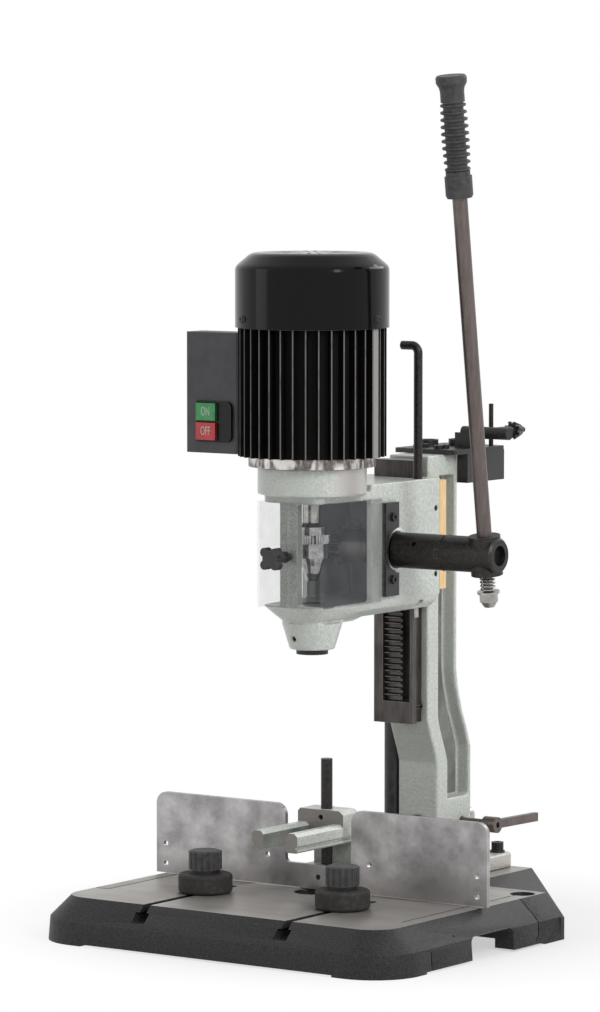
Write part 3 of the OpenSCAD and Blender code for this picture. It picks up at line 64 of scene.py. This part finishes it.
# ---------------------------------------------------------------- places taken from the frame
SPINDLE_Y = -113 * MM        # the spindle axis in front of the origin
FENCE_GAP = 1.2 * MM          # between the table and the fence
TABLE_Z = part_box("fence_plate")[0].z - FENCE_GAP
FIN_RADIUS = 76.3 * MM
PAD_X = FIN_RADIUS - 0.8 * MM  # outer face of the motor's side pad
TONGUE_HALF = 99.5 * MM       # half width of the machined tongue behind the table
BOSS_X = 45 * MM             # the head's feed boss stands out past this
CHAMBER_HALF = 37.8 * MM     # the chuck chamber inside the head, just past its walls
CHAMBER_Y = (SPINDLE_Y - 32 * MM, SPINDLE_Y + 113 * MM)
CHAMBER_Z = (343 * MM, 451 * MM)


def body_of(node):
    """The body that carries a node."""
    for body, nodes in frame["record"]["behaviour"]["bodies"].items():
        if node in nodes:
            return body
    return None


def middle(node):
    """The middle of a node's box."""
    low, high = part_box(node)
    return (low + high) / 2


# ---------------------------------------------------------------- camera
CAMERA_PLACE = (2.9076, -4.26105, 0.8535)
CAMERA_AZIMUTH = 35.17
CAMERA_PITCH = 4.61
CAMERA_LENS = 176.4


def add_camera():
    """The photographer's camera, solved from the photo."""
    data = bpy.data.cameras.new("camera")
    data.lens = CAMERA_LENS
    data.sensor_width = 36
    data.sensor_fit = "AUTO"
    data.clip_end = 60
    camera = bpy.data.objects.new("camera", data)
    camera.location = CAMERA_PLACE
    camera.rotation_euler = (math.radians(90 - CAMERA_PITCH), 0, math.radians(CAMERA_AZIMUTH))
    bpy.context.scene.collection.objects.link(camera)
    bpy.context.scene.camera = camera


add_camera()


# ---------------------------------------------------------------- materials
def srgb(red, green, blue):
    """A display colour, 0 to 255, as a linear one."""
    def channel(value):
        value /= 255
        return value / 12.92 if value <= 0.04045 else ((value + 0.055) / 1.055) ** 2.4
    return (channel(red), channel(green), channel(blue), 1)


# Places of the factor and the two blended values among a Mix node's inputs
COLOUR_MIX_SOCKETS = (0, 6, 7)
VECTOR_MIX_SOCKETS = (0, 4, 5)


class Finish:
    """A Principled material. Its methods add nodes and return a socket."""

    def __init__(self, name, **inputs):
        self.material = bpy.data.materials.new(name)
        self.material.use_nodes = True
        self.tree = self.material.node_tree
        self.shader = self.tree.nodes["Principled BSDF"]
        self.places = self.tree.nodes.new("ShaderNodeTexCoord")
        for socket, value in inputs.items():
            self.shader.inputs[socket.replace("_", " ")].default_value = value

    def node(self, kind, inputs, **settings):
        """A new node with its inputs linked or set."""
        node = self.tree.nodes.new("ShaderNode" + kind)
        for name, value in settings.items():
            setattr(node, name, value)
        for name, value in inputs.items():
            if isinstance(value, bpy.types.NodeSocket):
                self.tree.links.new(value, node.inputs[name])
            else:
                node.inputs[name].default_value = value
        return node

    def use(self, socket, value):
        """Feeds value into one of the shader's sockets."""
        self.tree.links.new(value, self.shader.inputs[socket])

    def place(self, stretch=(1, 1, 1)):
        """The point on the object, stretched along its axes."""
        return self.node("Mapping", {"Vector": self.places.outputs["Object"], "Scale": stretch}).outputs[0]

    def noise(self, size, detail=2.0, stretch=(1, 1, 1), roughness=0.55):
        """Noise whose lumps are size millimetres across."""
        return self.node("TexNoise", {"Vector": self.place(stretch), "Scale": 1 / (size * MM), "Detail": detail,
                                      "Roughness": roughness}).outputs["Fac"]

    def span(self, value, low, high, bottom=0.0, top=1.0):
        """Turns low..high into bottom..top, clamped."""
        return self.node("MapRange", {"Value": value, "From Min": low, "From Max": high, "To Min": bottom,
                                      "To Max": top}).outputs[0]

    def math(self, operation, first, second=0):
        """Result of a Math node."""
        return self.node("Math", {0: first, 1: second}, operation=operation).outputs[0]

    def mix_colours(self, factor, first, second):
        """Blend of two colours."""
        node = self.tree.nodes.new("ShaderNodeMix")
        node.data_type = "RGBA"
        for index, value in zip(COLOUR_MIX_SOCKETS, (factor, first, second)):
            if isinstance(value, bpy.types.NodeSocket):
                self.tree.links.new(value, node.inputs[index])
            else:
                node.inputs[index].default_value = value
        return node.outputs[2]

    def axis(self, name):
        """One coordinate of the point on the object, in metres."""
        return self.node("SeparateXYZ", {"Vector": self.places.outputs["Object"]}).outputs[name]

    def facing(self, name):
        """One component of the surface's own direction."""
        return self.node("SeparateXYZ", {"Vector": self.places.outputs["Normal"]}).outputs[name]

    def edges(self, radius, low=0.02, high=0.25):
        """1 along the edges, 0 on the flats."""
        round_normal = self.node("Bevel", {"Radius": radius * MM}, samples=4).outputs[0]
        flat_normal = self.tree.nodes.new("ShaderNodeNewGeometry").outputs["Normal"]
        dot = self.node("VectorMath", {0: round_normal, 1: flat_normal}, operation="DOT_PRODUCT").outputs["Value"]
        return self.span(dot, 1 - low, 1 - high)

    def hollows(self, distance):
        """1 in narrow corners, 0 in the open."""
        node = self.node("AmbientOcclusion", {"Distance": distance * MM}, samples=6)
        return self.span(node.outputs["AO"], 0.75, 0.2)

    def within(self, value, low, high, soft=0.3):
        """1 where value lies between low and high, both in metres."""
        return self.math("MULTIPLY", self.span(value, low, low + soft * MM), self.span(value, high, high - soft * MM))

    def bump(self, height, depth, after=None):
        """Bump depth millimetres deep, laid over an earlier one."""
        inputs = {"Height": height, "Distance": depth * MM}
        if after is not None:
            inputs["Normal"] = after
        return self.node("Bump", inputs).outputs[0]


def green_paint(name, front=(176, 180, 173), front_shade_and_bare_share=0.5):
    """Pale grey-green hammered paint on a sand casting. Its front faces are mixed towards the front colour: with the
    defaults this is a painted shade, for the fork it is the bare raw steel of its machined faces.
    """
    f = Finish(name, Coat_Weight=0.25, Coat_Roughness=0.22)
    lumps = f.noise(2.8, 1.0)
    grain = f.noise(0.9, 2.0)
    drift = f.noise(60, 3.0)
    colour = f.mix_colours(f.span(lumps, 0.36, 0.66), srgb(188, 193, 187), srgb(209, 213, 207))
    colour = f.mix_colours(f.span(drift, 0.5, 0.75, 0, 0.3), colour, srgb(182, 188, 181))
    # Front faces towards the front colour: a painted shade on the castings in hammered_green, bare raw steel on the
    # fork's machined faces.
    front_shade_and_bare_steel = f.span(f.facing("Y"), -0.55, -0.95, 0, front_shade_and_bare_share)
    colour = f.mix_colours(front_shade_and_bare_steel, colour, srgb(*front))
    # Painted shade: sideways faces within 2 to 20 mm of the middle, inside the recesses, darkened to olive.
    sideways = f.span(f.math("ABSOLUTE", f.facing("X")), 0.8, 0.95)
    web_shade = f.math("MULTIPLY", sideways, f.within(f.math("ABSOLUTE", f.axis("X")), 2 * MM, 20 * MM))
    colour = f.mix_colours(f.math("MULTIPLY", web_shade, f.span(drift, 0.3, 0.6, 0.6, 1.0)), colour, srgb(108, 112, 104))
    # Painted shade: narrow corners, found by ambient occlusion, darkened in patches.
    colour = f.mix_colours(f.math("MULTIPLY", f.hollows(9), f.span(grain, 0.3, 0.6)), colour, srgb(104, 106, 98))
    # Painted shade: the faces inside the chuck chamber darkened.
    inside = f.math("MULTIPLY", f.within(f.math("ABSOLUTE", f.axis("X")), -1 * MM, CHAMBER_HALF), f.math(
        "MULTIPLY", f.within(f.axis("Y"), *CHAMBER_Y), f.within(f.axis("Z"), *CHAMBER_Z)))
    colour = f.mix_colours(inside, colour, srgb(84, 86, 82))
    machined = f.math("MULTIPLY", sideways, f.span(f.axis("X"), BOSS_X, BOSS_X + 0.4 * MM))
    f.use("Base Color", f.mix_colours(machined, colour, srgb(186, 183, 179)))
    f.use("Metallic", f.span(machined, 0, 1, 0, 0.7))
    f.use("Roughness", f.span(lumps, 0.3, 0.7, 0.28, 0.44))
    f.use("Normal", f.bump(grain, 0.10, f.bump(lumps, 0.42)))
    return f.material


def textured_black():
    """Black wrinkle paint on the base, with the table ground bare."""
    f = Finish("textured_black", Specular_IOR_Level=0.3)
    grain = f.noise(1.9, 3.0)
    lumps = f.noise(6, 2.0)
    # rim marks the edges for a painted highlight: patchy on the black paint, bright on the bare steel.
    rim = f.edges(1.2)
    paint = f.mix_colours(f.span(grain, 0.35, 0.7), srgb(12, 12, 13), srgb(50, 50, 52))
    paint = f.mix_colours(f.math("MULTIPLY", rim, f.span(lumps, 0.4, 0.6, 0.25, 1)), paint, srgb(108, 105, 101))
    top = f.math("MULTIPLY", f.span(f.facing("Z"), 0.9, 0.97),
                 f.span(f.axis("Z"), TABLE_Z - 0.4 * MM, TABLE_Z - 0.2 * MM))
    table = f.span(f.axis("Y"), 20 * MM, 22 * MM, 1, 0)
    tongue = f.span(f.math("ABSOLUTE", f.axis("X")), TONGUE_HALF - 1 * MM, TONGUE_HALF, 1, 0)
    bare = f.math("MULTIPLY", top, f.math("MAXIMUM", table, tongue))
    milling = f.noise(1.2, 3.0, (0.012, 1, 1))
    stain = f.noise(38, 4.0, (0.5, 1, 1))
    freckles = f.noise(2.2, 3.0)
    steel = f.mix_colours(f.span(milling, 0.3, 0.7), srgb(150, 146, 141), srgb(178, 175, 170))
    steel = f.mix_colours(f.span(stain, 0.45, 0.75, 0, 0.5), steel, srgb(132, 124, 115))
    steel = f.mix_colours(f.span(freckles, 0.62, 0.74, 0, 0.35), steel, srgb(104, 92, 82))
    # Painted highlight along the bare table's edges.
    steel = f.mix_colours(rim, steel, srgb(206, 204, 200))
    f.use("Base Color", f.mix_colours(bare, paint, steel))
    f.use("Metallic", f.span(bare, 0, 1, 0, 0.6))
    f.use("Roughness", f.span(bare, 0, 1, 0.46, 0.40))
    paint_bump = f.bump(lumps, 0.4, f.bump(grain, 0.7))
    f.use("Normal", mixed_vector(f, bare, paint_bump, f.bump(milling, 0.015)))
    return f.material


def mixed_vector(f, factor, first, second):
    """Blend of two directions."""
    node = f.tree.nodes.new("ShaderNodeMix")
    node.data_type = "VECTOR"
    for index, value in zip(VECTOR_MIX_SOCKETS, (factor, first, second)):
        f.tree.links.new(value, node.inputs[index])
    return node.outputs[1]


def ground_steel():
    """Cloudy, roughly ground steel of the fence, stained low down."""
    f = Finish("ground_steel", Metallic=0.9)
    clouds = f.noise(24, 5.0)
    mottle = f.noise(5.5, 4.0)
    scratches = f.noise(1.1, 2.0, (0.10, 1, 0.9))
    fine = f.noise(0.5, 2.0, (0.2, 1, 1))
    colour = f.mix_colours(f.span(clouds, 0.35, 0.66), srgb(142, 139, 140), srgb(184, 182, 182))
    colour = f.mix_colours(f.span(mottle, 0.38, 0.7, 0, 0.4), colour, srgb(160, 157, 157))
    colour = f.mix_colours(f.span(scratches, 0.6, 0.78, 0, 0.4), colour, srgb(196, 193, 191))
    low = f.span(f.axis("Z"), TABLE_Z + 26 * MM, TABLE_Z + 4 * MM)
    colour = f.mix_colours(f.math("MULTIPLY", low, f.span(clouds, 0.4, 0.6, 0, 0.55)), colour, srgb(98, 92, 88))
    # Painted highlight along the edges.
    f.use("Base Color", f.mix_colours(f.edges(0.9), colour, srgb(214, 211, 208)))
    f.use("Roughness", f.span(clouds, 0.3, 0.7, 0.48, 0.32))
    f.use("Normal", f.bump(fine, 0.02, f.bump(mottle, 0.12)))
    return f.material


def dark_steel():
    """Dark, greasy steel of the way, the rack and the feed hub."""
    f = Finish("dark_steel", Metallic=0.75)
    smear = f.noise(9, 4.0, (1, 1, 0.25))
    specks = f.noise(1.6, 3.0)
    colour = f.mix_colours(f.span(smear, 0.35, 0.7), srgb(56, 53, 53), srgb(92, 88, 86))
    colour = f.mix_colours(f.span(specks, 0.58, 0.72, 0, 0.8), colour, srgb(92, 64, 46))
    # Painted highlight along the edges.
    colour = f.mix_colours(f.edges(0.8), colour, srgb(150, 148, 146))
    f.use("Base Color", colour)
    f.use("Roughness", f.span(smear, 0.3, 0.7, 0.28, 0.46))
    f.use("Normal", f.bump(specks, 0.03))
    return f.material


def black_oxide():
    """Blackened screws and small steel parts."""
    f = Finish("black_oxide", Metallic=0.6)
    blur = f.noise(3.0, 3.0)
    colour = f.mix_colours(f.span(blur, 0.35, 0.7), srgb(34, 33, 33), srgb(58, 55, 53))
    # Painted highlight along the edges.
    colour = f.mix_colours(f.edges(0.5), colour, srgb(120, 114, 108))
    f.use("Base Color", colour)
    f.use("Roughness", f.span(blur, 0.3, 0.7, 0.34, 0.5))
    f.use("Normal", f.bump(f.noise(0.6), 0.02))
    return f.material


def brown_steel():
    """Drawn bar of the lever, oiled brown-grey."""
    f = Finish("brown_steel", Metallic=0.7)
    streaks = f.noise(2.4, 3.0, (1, 1, 0.05))
    patches = f.noise(14, 3.0)
    colour = f.mix_colours(f.span(streaks, 0.3, 0.7), srgb(97, 88, 86), srgb(112, 103, 99))
    colour = f.mix_colours(f.span(patches, 0.5, 0.75, 0, 0.4), colour, srgb(84, 75, 72))
    f.use("Base Color", colour)
    f.use("Roughness", f.span(patches, 0.3, 0.7, 0.34, 0.46))
    f.use("Normal", f.bump(streaks, 0.015))
    return f.material


def bright_steel():
    """Bright turned steel."""
    f = Finish("bright_steel", Metallic=0.95)
    rings = f.noise(0.7, 3.0, (0.3, 0.3, 1))
    haze = f.noise(8, 3.0)
    colour = f.mix_colours(f.span(haze, 0.35, 0.7), srgb(150, 147, 143), srgb(188, 187, 184))
    f.use("Base Color", f.mix_colours(f.hollows(2), colour, srgb(60, 54, 48)))
    f.use("Roughness", f.span(haze, 0.3, 0.7, 0.22, 0.36))
    f.use("Normal", f.bump(rings, 0.015))
    return f.material


def chrome():
    """Plated steel of the chuck and the strut rod."""
    f = Finish("chrome", Metallic=1.0)
    haze = f.noise(6, 3.0)
    f.use("Base Color", f.mix_colours(f.span(haze, 0.35, 0.7), srgb(132, 131, 132), srgb(176, 175, 176)))
    f.use("Roughness", f.span(haze, 0.3, 0.7, 0.08, 0.18))
    f.use("Normal", f.bump(f.noise(1.2, 2.0, (0.2, 0.2, 1)), 0.008))
    return f.material


def cast_aluminium():
    """Rough, bright aluminium of the motor's end bell."""
    f = Finish("cast_aluminium", Metallic=0.9)
    scallops = f.noise(9, 2.0, (1, 1, 0.45))
    lumps = f.noise(4, 4.0)
    grain = f.noise(0.9, 2.0)
    colour = f.mix_colours(f.span(scallops, 0.42, 0.58), srgb(104, 97, 94), srgb(214, 211, 209))
    colour = f.mix_colours(f.span(lumps, 0.5, 0.7, 0, 0.5), colour, srgb(158, 153, 150))
    f.use("Base Color", colour)
    f.use("Roughness", f.span(lumps, 0.3, 0.7, 0.46, 0.28))
    f.use("Normal", f.bump(grain, 0.08, f.bump(scallops, 0.8)))
    return f.material


def from_motor_axis(f):
    """Distance of the point from the motor's axis, in metres."""
    across = f.node("VectorMath", {0: f.places.outputs["Object"], 1: (0, SPINDLE_Y, 0)}, operation="SUBTRACT")
    flat = f.node("VectorMath", {0: across.outputs[0], 1: (1, 1, 0)}, operation="MULTIPLY")
    return f.node("VectorMath", {0: flat.outputs[0]}, operation="LENGTH").outputs["Value"]


def finned_black():
    """Black motor housing whose fin tips are rubbed bare, with a plain pad on its right."""
    f = Finish("finned_black", Specular_IOR_Level=0.1)
    grain = f.noise(1.2, 3.0)
    wear = f.noise(5, 4.0, (1, 1, 0.3))
    tips = f.math("MULTIPLY", f.span(from_motor_axis(f), FIN_RADIUS - 0.45 * MM, FIN_RADIUS - 0.15 * MM),
                  f.span(wear, 0.28, 0.5, 0.5, 1))
    paint = f.mix_colours(f.span(grain, 0.35, 0.7), srgb(5, 5, 5), srgb(12, 12, 12))
    colour = f.mix_colours(tips, paint, srgb(112, 108, 106))
    beside = f.math("MULTIPLY", f.span(f.facing("X"), 0.9, 0.97), f.span(f.axis("X"), PAD_X, PAD_X + 0.2 * MM))
    pad = f.math("MULTIPLY", beside, f.within(f.axis("Y"), SPINDLE_Y - 2.5 * MM, SPINDLE_Y + 10 * MM))
    f.use("Base Color", f.mix_colours(pad, colour, srgb(150, 148, 146)))
    f.use("Roughness", f.span(grain, 0.3, 0.7, 0.55, 0.72))
    f.use("Normal", f.bump(grain, 0.12))
    return f.material


def gloss_black():
    """Gloss black enamel of the pressed fan cover."""
    f = Finish("gloss_black", Coat_Weight=0.1, Coat_Roughness=0.03, Roughness=0.16, Specular_IOR_Level=0.12)
    ripple = f.noise(16, 2.0)
    dust = f.noise(0.9, 2.0)
    f.use("Base Color", f.mix_colours(f.span(dust, 0.68, 0.76, 0, 0.5), srgb(5, 5, 6), srgb(44, 44, 46)))
    f.use("Normal", f.bump(ripple, 0.12))
    return f.material


def lamination():
    """Stacked steel sheets of the stator."""
    f = Finish("lamination", Metallic=0.7, Roughness=0.45)
    sheets = f.noise(0.6, 1.0, (0.01, 0.01, 1))
    f.use("Base Color", f.mix_colours(f.span(sheets, 0.35, 0.65), srgb(96, 72, 52), srgb(148, 118, 90)))
    f.use("Normal", f.bump(sheets, 0.05))
    return f.material


def black_plastic():
    """Moulded or coated black parts."""
    f = Finish("black_plastic")
    grain = f.noise(0.9, 3.0)
    scuffs = f.noise(7, 4.0)
    colour = f.mix_colours(f.span(scuffs, 0.4, 0.72), srgb(28, 28, 30), srgb(48, 47, 48))
    # Painted highlight along the edges.
    f.use("Base Color", f.mix_colours(f.edges(0.7), colour, srgb(86, 84, 82)))
    f.use("Roughness", f.span(scuffs, 0.3, 0.7, 0.36, 0.55))
    f.use("Normal", f.bump(grain, 0.05))
    return f.material


def black_rubber():
    """Work rollers, dusty with sawdust."""
    f = Finish("black_rubber", Specular_IOR_Level=0.3)
    grain = f.noise(0.8, 3.0)
    dust = f.noise(6, 4.0)
    colour = f.mix_colours(f.span(grain, 0.35, 0.7), srgb(40, 39, 39), srgb(60, 58, 57))
    f.use("Base Color", f.mix_colours(f.span(dust, 0.5, 0.72, 0, 0.45), colour, srgb(92, 88, 83)))
    f.use("Roughness", f.span(grain, 0.3, 0.7, 0.6, 0.8))
    f.use("Normal", f.bump(grain, 0.08))
    return f.material


def worn_grey():
    """Rubbed dark grey plastic of the grip and the roller knobs."""
    f = Finish("worn_grey", Specular_IOR_Level=0.35)
    grain = f.noise(0.9, 3.0)
    scuffs = f.noise(6, 4.0)
    colour = f.mix_colours(f.span(scuffs, 0.36, 0.7), srgb(50, 50, 52), srgb(74, 73, 74))
    # Painted highlight along the edges.
    f.use("Base Color", f.mix_colours(f.edges(0.7), colour, srgb(112, 110, 108)))
    f.use("Roughness", f.span(scuffs, 0.3, 0.7, 0.42, 0.62))
    f.use("Normal", f.bump(grain, 0.06))
    return f.material


def deep_black():
    """Smooth moulded plate round the buttons."""
    f = Finish("deep_black", Specular_IOR_Level=0.25)
    haze = f.noise(5, 3.0)
    f.use("Base Color", f.mix_colours(f.span(haze, 0.4, 0.7), srgb(10, 10, 11), srgb(22, 22, 23)))
    f.use("Roughness", f.span(haze, 0.3, 0.7, 0.3, 0.42))
    f.use("Normal", f.bump(f.noise(0.8), 0.02))
    return f.material


def switch_shell():
    """Dark grey powder coat of the switch box."""
    f = Finish("switch_shell")
    grain = f.noise(0.7, 3.0)
    marks = f.noise(18, 4.0)
    colour = f.mix_colours(f.span(marks, 0.35, 0.7), srgb(46, 46, 50), srgb(62, 62, 67))
    f.use("Base Color", f.mix_colours(f.edges(0.8), colour, srgb(20, 20, 21)))
    f.use("Roughness", f.span(grain, 0.3, 0.7, 0.42, 0.56))
    f.use("Normal", f.bump(grain, 0.05))
    return f.material


def button_plastic(name, low, high):
    """Translucent-looking moulded button."""
    f = Finish(name, Coat_Weight=0.3, Coat_Roughness=0.15)
    cloud = f.noise(6, 3.0)
    f.use("Base Color", f.mix_colours(f.span(cloud, 0.35, 0.7), low, high))
    f.use("Roughness", f.span(cloud, 0.3, 0.7, 0.3, 0.42))
    f.use("Normal", f.bump(f.noise(0.6), 0.02))
    return f.material


def tan_bronze():
    """Tan wear strips beside the way."""
    f = Finish("tan_bronze", Metallic=0.2)
    grain = f.noise(1.4, 4.0, (1, 1, 0.1))
    f.use("Base Color", f.mix_colours(f.span(grain, 0.3, 0.7), srgb(226, 184, 124), srgb(247, 216, 166)))
    f.use("Roughness", f.span(grain, 0.3, 0.7, 0.42, 0.6))
    f.use("Normal", f.bump(grain, 0.04))
    return f.material


def clear_guard():
    """Clear sheet: see-through straight on, milky at a slant, with a painted highlight of piped light that makes its
    edge faces whiter and less clear.
    """
    f = Finish("clear_guard", Roughness=0.08, IOR=1.49, Specular_IOR_Level=0.35)
    slant = f.tree.nodes.new("ShaderNodeLayerWeight")
    slant.inputs["Blend"].default_value = 0.3
    haze = f.noise(22, 4.0)
    # Painted highlight of piped light on the edge faces: whiter and less clear there.
    rim = f.span(f.math("ABSOLUTE", f.facing("Z")), 0.6, 0.9)
    clear = f.math("MULTIPLY", f.span(slant.outputs["Facing"], 0, 1, 0.03, 0.24), f.span(haze, 0.3, 0.7, 0.8, 1.2))
    f.use("Alpha", f.math("MAXIMUM", clear, f.math("MULTIPLY", rim, 0.6)))
    f.use("Base Color", f.mix_colours(rim, srgb(176, 179, 184), srgb(236, 238, 240)))
    f.use("Normal", f.bump(haze, 0.05))
    return f.material


def white_ink():
    """Printed lettering, a little worn."""
    f = Finish("white_ink", Roughness=0.5)
    f.use("Base Color", f.mix_colours(f.span(f.noise(0.8), 0.35, 0.6), srgb(164, 168, 162), srgb(206, 208, 202)))
    return f.material


FINISHES = {make.__name__: make() for make in (
    textured_black, ground_steel, dark_steel, black_oxide, brown_steel, bright_steel, chrome, cast_aluminium,
    finned_black, gloss_black, lamination, black_plastic, black_rubber, worn_grey, deep_black, switch_shell,
    tan_bronze, clear_guard, white_ink)}
FINISHES["hammered_green"] = green_paint("hammered_green")
# The fork's front faces are bare raw steel, not a painted shade.
FINISHES["fork_green"] = green_paint("fork_green", (125, 120, 113), 1.0)
FINISHES["green_plastic"] = button_plastic("green_plastic", srgb(28, 128, 62), srgb(44, 156, 78))
FINISHES["red_plastic"] = button_plastic("red_plastic", srgb(172, 28, 32), srgb(206, 44, 46))

SLOT_OF = {part["node"]: part["material_slot"] for part in frame["record"]["subparts"]}


def dress(obj, finish):
    """Gives an object one finish all over."""
    obj.data.materials.clear()
    obj.data.materials.append(FINISHES[finish])


# Nodes whose finish departs from the one of their slot
OWN_FINISH = {"hold_down_fork": "fork_green", "lever_grip": "worn_grey", "roller_knob_left": "worn_grey",
              "roller_knob_right": "worn_grey", "switch_plate": "deep_black"}

for name, obj in frame["nodes"].items():
    dress(obj, OWN_FINISH.get(name, SLOT_OF[name]))


# ---------------------------------------------------------------- mesh helpers
def add_piece(name, mesh, body, finish):
    """A new piece that rides on a body."""
    obj = bpy.data.objects.new(name, mesh)
    bpy.context.scene.collection.objects.link(obj)
    dress(obj, finish)
    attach(obj, body)
    return obj


def shade(obj, angle=32):
    """Smooth shading with crisp edges past angle."""
    mesh = obj.data
    mesh.shade_smooth()
    work = bmesh.new()
    work.from_mesh(mesh)
    for edge in work.edges:
        edge.smooth = len(edge.link_faces) == 2 and edge.calc_face_angle() < math.radians(angle)
    work.to_mesh(mesh)
    work.free()


def settle(obj):
    """Applies an object's modifiers."""
    bpy.context.view_layer.update()
    mesh = bpy.data.meshes.new_from_object(obj.evaluated_get(bpy.context.evaluated_depsgraph_get()))
    obj.modifiers.clear()
    obj.data = mesh


def stand_in(node, name):
    """A copy of a CAD node's mesh as a new piece that replaces it."""
    mesh = frame["nodes"][node].data.copy()
    obj = add_piece(name, mesh, body_of(node), SLOT_OF[node])
    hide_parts(node)
    return obj


def soften(node, voxel, passes):
    """Rounds every edge of a casting, as a mould and thick paint do."""
    obj = stand_in(node, node + "_cast")
    remesh = obj.modifiers.new("remesh", "REMESH")
    remesh.mode = "VOXEL"
    remesh.voxel_size = voxel * MM
    smooth = obj.modifiers.new("smooth", "SMOOTH")
    smooth.factor = 0.5
    smooth.iterations = passes
    settle(obj)
    obj.data.shade_smooth()
    return obj


def ease(node, width, angle=35):
    """Breaks the sharp edges of a machined or moulded part."""
    obj = stand_in(node, node + "_eased")
    work = bmesh.new()
    work.from_mesh(obj.data)
    bmesh.ops.remove_doubles(work, verts=work.verts, dist=0.004 * MM)
    bmesh.ops.dissolve_limit(work, angle_limit=math.radians(0.5), verts=work.verts, edges=work.edges)
    work.to_mesh(obj.data)
    work.free()
    bevel = obj.modifiers.new("bevel", "BEVEL")
    bevel.width = width * MM
    bevel.segments = 2
    bevel.limit_method = "ANGLE"
    bevel.angle_limit = math.radians(angle)
    bevel.miter_outer = "MITER_ARC"
    settle(obj)
    shade(obj)
    return obj


# ---------------------------------------------------------------- castings
soften("head_casting", 1.2, 5)
soften("column_casting", 1.6, 5)
ease("base_casting", 1.0)


# ---------------------------------------------------------------- lettering and plate
LETTER_HEIGHT = 13 * MM       # of the font's em, so capitals stand 9 mm tall
LETTER_NARROW = 0.55
LETTER_DEPTH = 0.12 * MM


def add_word(word, node):
    """A word printed on the front of a button."""
    curve = bpy.data.curves.new(word + "_word", "FONT")
    curve.body = word
    curve.size = LETTER_HEIGHT
    curve.align_x = "CENTER"
    curve.align_y = "CENTER"
    curve.extrude = LETTER_DEPTH
    obj = bpy.data.objects.new(word + "_word", curve)
    bpy.context.scene.collection.objects.link(obj)
    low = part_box(node)[0]
    centre = middle(node)
    obj.matrix_world = (Matrix.Translation((centre.x, low.y, centre.z)) @ Matrix.Rotation(math.pi / 2, 4, "X")
                        @ Matrix.Scale(LETTER_NARROW, 4, (1, 0, 0)))
    curve.materials.append(FINISHES["white_ink"])
    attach(obj, body_of(node))


add_word("ON", "on_button")
add_word("OFF", "off_button")


# ---------------------------------------------------------------- light and floor
def add_light(name, place, target, size, watts):
    """A rectangular lamp that looks at target."""
    data = bpy.data.lights.new(name, "AREA")
    data.shape = "RECTANGLE"
    data.size, data.size_y = size
    data.energy = watts
    light = bpy.data.objects.new(name, data)
    light.location = place
    light.rotation_euler = (Vector(target) - Vector(place)).to_track_quat("-Z", "Y").to_euler()
    bpy.context.scene.collection.objects.link(light)


HEART = (0, 0, 0.4)
add_light("key", (2.7, -0.9, 2.1), HEART, (0.5, 1.3), 46)
add_light("fill", (-2.2, -2.2, 1.3), HEART, (1.2, 1.8), 9)
add_light("rim", (0.8, 2.4, 1.9), HEART, (1.6, 1.0), 18)


FLOOR_HALF = 30
FLOOR_DROP = 0.2 * MM         # keeps the floor clear of the feet
FADE_FROM, FADE_TO = 0.24, 0.42
NEAR_GLOW = 0.55              # share of plain white in the floor beside the object


def add_floor():
    """A pale floor that fades to white away from the object and keeps its shadow."""
    mesh = bpy.data.meshes.new("floor")
    half = FLOOR_HALF
    mesh.from_pydata([(-half, -half, 0), (half, -half, 0), (half, half, 0), (-half, half, 0)], [], [(0, 1, 2, 3)])
    floor = bpy.data.objects.new("floor", mesh)
    floor.location.z = CAD_BOX[0][2] - FLOOR_DROP
    bpy.context.scene.collection.objects.link(floor)
    f = Finish("floor", Roughness=0.6)
    f.shader.inputs["Base Color"].default_value = srgb(250, 250, 250)
    reach = f.node("VectorMath", {0: f.places.outputs["Object"]}, operation="LENGTH").outputs["Value"]
    far = f.span(reach, FADE_FROM, FADE_TO, NEAR_GLOW, 1.0)
    rays = f.tree.nodes.new("ShaderNodeLightPath")
    seen = f.math("MAXIMUM", rays.outputs["Is Camera Ray"], f.math(
        "MAXIMUM", rays.outputs["Is Glossy Ray"], rays.outputs["Is Transmission Ray"]))
    glow = f.node("Emission", {"Color": (1, 1, 1, 1), "Strength": 1.0}).outputs[0]
    blend = f.tree.nodes.new("ShaderNodeMixShader")
    f.tree.links.new(f.math("MULTIPLY", far, seen), blend.inputs[0])
    f.tree.links.new(f.shader.outputs[0], blend.inputs[1])
    f.tree.links.new(glow, blend.inputs[2])
    f.tree.links.new(blend.outputs[0], f.tree.nodes["Material Output"].inputs[0])
    floor.data.materials.append(f.material)


add_floor()


ROOM_LEVEL = 0.45             # strength of the room's light on matt surfaces


def light_world():
    """An even grey room that the camera, metal and glass see as white."""
    world = bpy.data.worlds.new("world")
    bpy.context.scene.world = world
    world.use_nodes = True
    tree = world.node_tree
    room = tree.nodes["Background"]
    room.inputs["Color"].default_value = (1, 1, 1, 1)
    rays = tree.nodes.new("ShaderNodeLightPath")
    seen = None
    for ray in ("Is Camera Ray", "Is Glossy Ray", "Is Transmission Ray"):
        if seen is None:
            seen = rays.outputs[ray]
            continue
        join = tree.nodes.new("ShaderNodeMath")
        join.operation = "MAXIMUM"
        tree.links.new(seen, join.inputs[0])
        tree.links.new(rays.outputs[ray], join.inputs[1])
        seen = join.outputs[0]
    level = tree.nodes.new("ShaderNodeMapRange")
    level.inputs["To Min"].default_value = ROOM_LEVEL
    level.inputs["To Max"].default_value = 1.0
    tree.links.new(seen, level.inputs["Value"])
    tree.links.new(level.outputs[0], room.inputs["Strength"])


light_world()
bpy.context.scene.view_settings.view_transform = "Standard"
